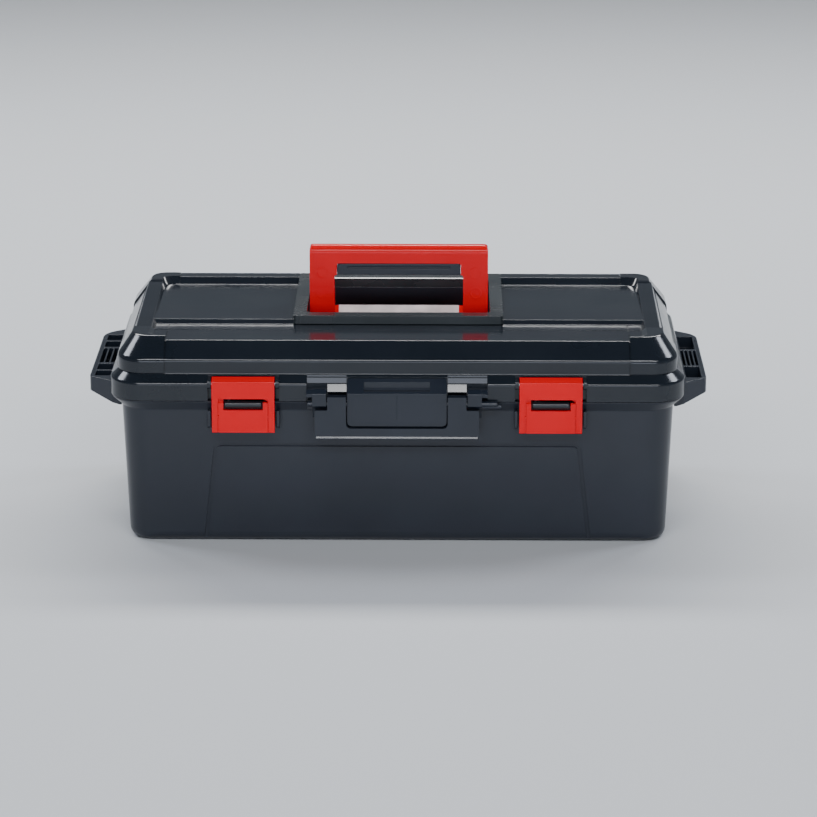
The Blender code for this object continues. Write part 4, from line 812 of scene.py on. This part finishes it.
def make_pins():
    for side, word in ((-1, "left"), (1, "right")):
        low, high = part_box(f"top_handle_pin_{word}")
        pin = rod("pin", (low + high) / 2, "X", (high.z - low.z) / 2, high.x - low.x, 40, 0.0005)
        finish_piece(pin, f"bail_pin_{word}", "lid", STEEL,
                     [f"top_handle_pin_{word}"])
        low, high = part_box(f"latch_pin_{word}")
        pin = rod("pin", (low + high) / 2, "X", (high.z - low.z) / 2, high.x - low.x, 32, 0.0003)
        finish_piece(pin, f"clasp_pin_{word}", "lid", STEEL, [f"latch_pin_{word}"])
        for end in (-1, 1):
            edges = sorted((side * LATCH_X + end * 0.0268, side * LATCH_X + end * 0.0300))
            view = rounded([
                (LATCH_PIVOT_Y - 0.0038, LATCH_PIVOT_Z - 0.004, 0.003),
                (LATCH_PIVOT_Y - 0.0038, LATCH_PIVOT_Z + 0.004, 0.003),
                (-HALF_D + 0.008, LATCH_PIVOT_Z + 0.004, 0),
                (-HALF_D + 0.008, LATCH_PIVOT_Z - 0.004, 0)])
            ear = prism("ear", [view], "YZ", *edges)
            edge_round(ear, 0.0003, 2)
            finish_piece(ear, f"clasp_ear_{word}_{'a' if end < 0 else 'b'}", "lid",
                         LID_BLACK)


# ----------------------------------------------------------------- top handle


def make_top_handle():
    """Red bail with a rounded grip bar, ring marks, crossbar and plate."""
    low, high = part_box("top_handle")
    half, thick = high.x, (high.y - low.y) / 2
    opening = half - 0.0213
    bar_low = high.z - 0.0152
    grip_low = bar_low - 0.0102
    cross_top = RAIL_Z - 0.002
    notch = cross_top - 0.0085
    outer = rounded([
        (-half, low.z, 0), (-opening, low.z, 0), (-opening, notch, 0.002), (opening, notch, 0.002),
        (opening, low.z, 0), (half, low.z, 0), (half, high.z, 0.004), (-half, high.z, 0.004)], 6)
    grip_half = opening - 0.0024
    window = rounded([
        (-opening, cross_top, 0.001), (opening, cross_top, 0.001), (opening, grip_low, 0.0018),
        (grip_half + 0.0003, grip_low, 0), (grip_half + 0.0003, bar_low, 0.002),
        (-grip_half - 0.0003, bar_low, 0.002), (-grip_half - 0.0003, grip_low, 0),
        (-opening, grip_low, 0.0018)], 6)
    bail = prism("bail", [outer, window], "XZ", HANDLE_Y - thick, HANDLE_Y + thick)
    section = rounded([
        (HANDLE_Y - thick, low.z, thick * 0.98), (HANDLE_Y + thick, low.z, thick * 0.98),
        (HANDLE_Y + thick, high.z, thick * 0.92), (HANDLE_Y - thick, high.z, thick * 0.92)], 14)
    keep_common(bail, prism("section", [section], "YZ", -half - WALL, half + WALL))
    slant = (HANDLE_Y - thick - 0.0003, RAIL_Z - 0.0093, HANDLE_Y - 0.001, RAIL_Z - 0.0041)
    cut(bail, prism("slant", [[
        (slant[0] - 0.001, slant[1] - 0.0006), (slant[2], slant[3]),
        (HANDLE_Y + thick + 0.001, slant[1]), (HANDLE_Y + thick + 0.001, RAIL_Z),
        (slant[0] - 0.001, RAIL_Z)]], "YZ", -opening + 0.0001, opening - 0.0001))

    def share(point):
        """Large rounding along the grip, a small one elsewhere."""
        return 1.0 if point.z > high.z - 0.0002 and abs(point.x) < half - 0.003 else 0.22

    edge_round(bail, 0.0036, 5, 42, share)
    finish_piece(bail, "bail", "top_handle", RED, ["top_handle"])
    for side, word in ((-1, "left"), (1, "right")):
        for mark_z, place in ((HANDLE_PIVOT_Z + 0.0225, "low"), (HANDLE_PIVOT_Z + 0.0405, "high")):
            mark_x = side * (half - 0.0106)
            for face, view in ((-1, "front"), (1, "back")):
                circles = [[(mark_x + radius * math.cos(math.radians(9 * k)),
                             mark_z + radius * math.sin(math.radians(9 * k))) for k in range(40)]
                           for radius in (0.0052, 0.0038)]
                depth = sorted((HANDLE_Y + face * (thick - 0.0004),
                                HANDLE_Y + face * (thick + 0.0002)))
                ring = prism("ring", circles, "XZ", *depth)
                edge_round(ring, 0.00015, 2)
                finish_piece(ring, f"gate_ring_{place}_{word}_{view}", "top_handle",
                             RED)
    grip_outline = rounded([
        (-grip_half, grip_low + 0.0002, 0.0008), (grip_half, grip_low + 0.0002, 0.0008),
        (grip_half, bar_low - 0.0003, 0.0035), (-grip_half, bar_low - 0.0003, 0.0035)], 8)
    grip = prism("grip", [grip_outline], "XZ", HANDLE_Y - thick - 0.0005,
                 HANDLE_Y + thick + 0.0005)
    slots = []
    for face in (-1, 1):
        faces = sorted((HANDLE_Y + face * (thick - 0.0008), HANDLE_Y + face * (thick + 0.002)))
        slots.append(prism("slot", [rectangle(
            -grip_half + 0.009, grip_low + 0.0058, grip_half - 0.009, grip_low + 0.0072, 0.0006)],
            "XZ", *faces))
    cut(grip, *slots)
    edge_round(grip, 0.0009, 3)
    finish_piece(grip, "grip_lining", "top_handle", GRIP_BLACK,
                 ["top_handle_grip"])
    low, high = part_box("label_plate")
    length = math.hypot(slant[2] - slant[0], slant[3] - slant[1])
    tilt = math.atan2(slant[3] - slant[1], slant[2] - slant[0])
    plate = prism("plate", [rectangle(low.x, 0.0003, high.x, length - 0.0002, 0.0006)],
                  "XY", -0.0002, 0.0007)
    inset = prism("inset", [rectangle(low.x + 0.0014, 0.0014, high.x - 0.0014, length - 0.0012,
                                      0.0005)], "XY", 0.0006, 0.002)
    cut(plate, inset)
    plate.data.transform(Matrix.Translation((0, slant[0], slant[1]))
                         @ Matrix.Rotation(tilt, 4, "X"))
    edge_round(plate, 0.0002, 2)
    finish_piece(plate, "blank_plate", "top_handle", PALE, ["label_plate"])


# --------------------------------------------------------------- front handle


def make_carry_handle():
    """Flat U that hangs from the rod, notched round the ears and the boss."""
    low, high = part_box("front_handle")
    half = high.x
    front = -HALF_D - 0.0098
    back = front + 0.008
    shoulder = SEAM_Z - 0.0048
    neck, inner = 0.0580, 0.0424
    neck_top = CARRY_Z + 0.0075
    outline = rounded([
        (-half, low.z, 0.0025), (half, low.z, 0.0025), (half, shoulder, 0.0015),
        (neck, shoulder, 0.001), (neck, neck_top, 0), (inner, neck_top, 0),
        (inner, low.z + 0.0095, 0.004), (-inner, low.z + 0.0095, 0.004), (-inner, neck_top, 0),
        (-neck, neck_top, 0), (-neck, shoulder, 0.001), (-half, shoulder, 0.0015)], 6)
    handle = prism("carry", [outline], "XZ", front, back)
    hubs, clear = [], []
    for side in (-1, 1):
        centre = (side * (neck + inner) / 2, CARRY_Y, CARRY_Z)
        hubs.append(rod("hub", centre, "X", 0.0063, neck - inner, 48))
        clear.append(rod("clear", (side * 0.0648, CARRY_Y, CARRY_Z), "X", 0.005, 0.0128, 40))
    join(handle, *hubs)
    cut(handle, *clear)
    edge_round(handle, 0.0011, 4, 35)
    finish_piece(handle, "carry_handle", "front_handle", SATIN_BLACK,
                 ["front_handle"], 30)
    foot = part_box("front_handle")[0].z
    lip_view = rounded([
        (front - 0.0009, foot + 0.0002, 0.0004), (front - 0.0009, foot + 0.0012, 0.0003),
        (front, foot + 0.0028, 0), (front + 0.0010, foot + 0.0028, 0),
        (front + 0.0010, foot + 0.0002, 0)], 4)
    lip = prism("lip", [lip_view], "YZ", -half + 0.001, half - 0.001)
    edge_round(lip, 0.0004, 3)
    finish_piece(lip, "carry_handle_lip", "front_handle", SATIN_BLACK)
    low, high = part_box("front_handle_rod")
    bar = rod("bar", (low + high) / 2, "X", (high.z - low.z) / 2, high.x - low.x, 48, 0.0006)
    finish_piece(bar, "carry_rod", "root", SATIN_BLACK, ["front_handle_rod"])
    tail = rod("tail", (0.0790, CARRY_Y + 0.0008, CARRY_Z - 0.0022), "X", 0.0023, 0.0166, 32, 0.0006)
    finish_piece(tail, "carry_rod_tail", "root", SATIN_BLACK)


# -------------------------------------------------------------------- latches


def make_latches():
    """Red clasps with a sloped head, a window and a tongue below it."""
    for word in ("left", "right"):
        low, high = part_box(f"latch_{word}")
        middle = (low.x + high.x) / 2
        half = (high.x - low.x) / 2
        front, back = low.y, LATCH_PIVOT_Y
        view = rounded([
            (front, low.z, 0.0010), (front, LATCH_PIVOT_Z + 0.0030, 0.0008),
            (LATCH_PIVOT_Y + 0.0020, LATCH_PIVOT_Z + 0.0058, 0.0008),
            (LATCH_PIVOT_Y + 0.0050, LATCH_PIVOT_Z + 0.0030, 0.0012),
            (LATCH_PIVOT_Y + 0.0050, LATCH_PIVOT_Z - 0.0030, 0.0012),
            (back, LATCH_PIVOT_Z - 0.0070, 0.001), (back, low.z, 0.0012)], 5)
        clasp = prism("clasp", [view], "YZ", middle - half, middle + half)
        top = SEAM_Z + 0.0037
        tongue = 0.0208
        tools = [
            block("window", (middle - 0.0165, front - WALL, top - 0.0098),
                  (middle + 0.0165, back + WALL, top)),
            block("mouth", (middle - tongue, front - WALL, top - 0.0036),
                  (middle + tongue, front + 0.0030, top)),
            block("face", (middle - tongue, front - WALL, low.z - WALL),
                  (middle + tongue, front + 0.00035, top - 0.0030)),
        ]
        for end in (-1, 1):
            slit = middle + end * tongue
            width = 0.0007 if end < 0 else 0.0003
            tools.append(block("slit", (slit - width, front - WALL, low.z - WALL),
                               (slit + width, front + 0.0016, top - 0.0162)))
            tools.append(block("slit", (slit - width, front - WALL, top - 0.0145),
                               (slit + width, front + 0.0016, top - 0.0030)))
        cut(clasp, *tools)

        def share(point):
            """Full rounding outside the tongue, a fine one round its shallow step."""
            return 0.3 if abs(point.x - middle) < tongue + 0.001 and point.z < top + WALL else 1.0

        edge_round(clasp, 0.0006, 3, 30, share)
        finish_piece(clasp, f"clasp_{word}", f"latch_{word}", RED,
                     [f"latch_{word}"])


# ----------------------------------------------------------------------- tray


def make_tray():
    """Tray with a rolled rim, a lengthwise wall, dividers and a grip."""
    rim_w, rim_d = TRAY_HIGH.x, TRAY_HIGH.y
    wall_w, wall_d = rim_w - 0.0034, rim_d - 0.0034
    base_w, base_d = wall_w - 0.004, wall_d - 0.004
    rim_low = TRAY_HIGH.z - 0.0022
    profile = [
        ((base_w - 0.02, base_d - 0.02, 0.005, TRAY_LOW.z), 0),
        ((base_w, base_d, 0.014, TRAY_LOW.z), 0.003),
        ((wall_w, wall_d, 0.018, rim_low), 0.0005),
        ((rim_w, rim_d, 0.018, rim_low), 0.0007),
        ((rim_w, rim_d, 0.018, TRAY_HIGH.z), 0.0009),
        ((wall_w - 0.002, wall_d - 0.002, 0.016, TRAY_HIGH.z), 0.0009),
        ((base_w - 0.002, base_d - 0.002, 0.012, TRAY_LOW.z + 0.002), 0.003),
        ((base_w - 0.02, base_d - 0.02, 0.005, TRAY_LOW.z + 0.002), 0),
    ]
    tray = loft("tray_tub", soften(profile))
    top = TRAY_HIGH.z - 0.006
    wall = rounded([
        (-base_w + 0.001, TRAY_LOW.z + 0.001, 0), (base_w - 0.001, TRAY_LOW.z + 0.001, 0),
        (base_w - 0.001, top, 0), (-base_w + 0.001, top, 0)])
    divider = prism("wall", [wall], "XZ", -0.001, 0.001)
    cut(divider, block("notch", (-0.0453, -0.01, TRAY_HIGH.z - 0.0263), (0.0453, 0.01, top + WALL)))
    join(tray, divider)
    edge_round(tray, 0.0004, 2)
    finish_piece(tray, "tray_tub", "tray", TRAY_GREY, ["tray"])
    low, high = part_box("tray_grip")
    bar = 0.008
    outer = rounded([(low.x, low.z, 0), (high.x, low.z, 0), (high.x, high.z, 0.005),
                     (low.x, high.z, 0.005)])
    hole = rectangle(low.x + bar, low.z + 0.003, high.x - bar, high.z - bar, 0.004)
    grip = prism("grip", [outer, hole], "XZ", low.y, high.y)
    edge_round(grip, 0.0015, 4)
    finish_piece(grip, "tray_handle", "tray", TRAY_GREY, ["tray_grip"])
    for side, word in ((-1, "left"), (1, "right")):
        low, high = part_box(f"tray_divider_{word}")
        lean = 0.004 / 0.050 * (high.z - low.z)
        view = rounded([(high.y, low.z, 0.001), (high.y, high.z, 0.002),
                        (low.y, high.z, 0.002), (low.y + lean, low.z, 0.003)])
        leaf = prism("leaf", [view], "YZ", low.x, high.x)
        edge_round(leaf, 0.0004, 2)
        finish_piece(leaf, f"divider_{word}", "tray", TRAY_GREY,
                     [f"tray_divider_{word}"])


# ---------------------------------------------------------- stage and camera


def add_light(name, place, aim, size, power, colour=(1, 1, 1)):
    """Soft rectangular light that faces a point."""
    data = bpy.data.lights.new(name, "AREA")
    data.shape = "RECTANGLE"
    data.size, data.size_y = size
    data.energy = power
    data.color = colour
    light = bpy.data.objects.new(name, data)
    bpy.context.scene.collection.objects.link(light)
    light.location = place
    direction = Vector(aim) - Vector(place)
    light.rotation_euler = direction.to_track_quat("-Z", "Y").to_euler()


def make_stage():
    """Pale floor, soft lights and the camera."""
    floor = block("floor", (-30, -30, -0.05), (30, 30, -0.0001))
    paint = bpy.data.materials.new("floor_paint")
    paint.use_nodes = True
    shader = paint.node_tree.nodes["Principled BSDF"]
    shader.inputs["Base Color"].default_value = (0.62, 0.64, 0.66, 1)
    shader.inputs["Roughness"].default_value = 0.7
    floor.data.materials.append(paint)
    world = bpy.data.worlds.new("studio")
    world.use_nodes = True
    nodes, links = world.node_tree.nodes, world.node_tree.links
    place = nodes.new("ShaderNodeTexCoord")
    split = nodes.new("ShaderNodeSeparateXYZ")
    ramp = nodes.new("ShaderNodeValToRGB")
    links.new(place.outputs["Generated"], split.inputs["Vector"])
    links.new(split.outputs["Z"], ramp.inputs["Fac"])
    links.new(ramp.outputs["Color"], nodes["Background"].inputs["Color"])
    ramp.color_ramp.elements[0].position = 0.0
    ramp.color_ramp.elements[0].color = (0.55, 0.60, 0.66, 1)
    ramp.color_ramp.elements[1].position = 0.55
    ramp.color_ramp.elements[1].color = (0.06, 0.07, 0.09, 1)
    nodes["Background"].inputs["Strength"].default_value = 0.55
    bpy.context.scene.world = world
    middle = (0, 0, 0.13)
    add_light("back_strip", (0, 1.75, 1.95), middle, (3.6, 0.34), 84)
    add_light("front_box", (0, -2.1, 2.0), middle, (3.0, 0.36), 50, (0.97, 0.98, 1.0))
    add_light("low_front", (0, -4.2, 0.75), middle, (4.2, 0.9), 48, (0.80, 0.86, 1.0))
    add_light("left_box", (-1.9, 0.75, 1.85), middle, (0.7, 0.7), 20, (0.85, 0.90, 1.0))
    add_light("right_box", (1.9, 0.75, 1.85), middle, (0.7, 0.7), 20, (0.85, 0.90, 1.0))
    data = bpy.data.cameras.new("camera")
    data.lens = 152.5
    data.sensor_width = 36.0
    camera = bpy.data.objects.new("camera", data)
    camera.location = (0.0405, -2.887, 0.967)
    camera.rotation_euler = (math.radians(90 - 17), 0, math.radians(0.64))
    bpy.context.scene.collection.objects.link(camera)
    bpy.context.scene.camera = camera


def build():
    make_tub()
    make_boss()
    make_ears()
    make_ribs()
    make_lug(-1, "left", [(-0.0655, -0.0505, 1), (-0.0470, -0.0300, 1), (-0.0255, 0.0185, 3),
                          (0.0230, 0.0400, 1), (0.0445, 0.0610, 1)])
    make_lug(1, "right", [(-0.0660, -0.0335, 1), (-0.0295, 0.0165, 4), (0.0205, 0.0600, 1)])
    make_knuckles()
    make_catches()
    make_lid()
    make_recess_ledges()
    make_lid_top()
    for side_y, end in ((-1, "front"), (1, "rear")):
        for side_x, word in ((-1, "left"), (1, "right")):
            make_corner_cap(side_x, side_y, f"lid_corner_{end}_{word}")
    make_frame()
    make_pins()
    make_top_handle()
    make_carry_handle()
    make_latches()
    make_tray()
    make_stage()


build()
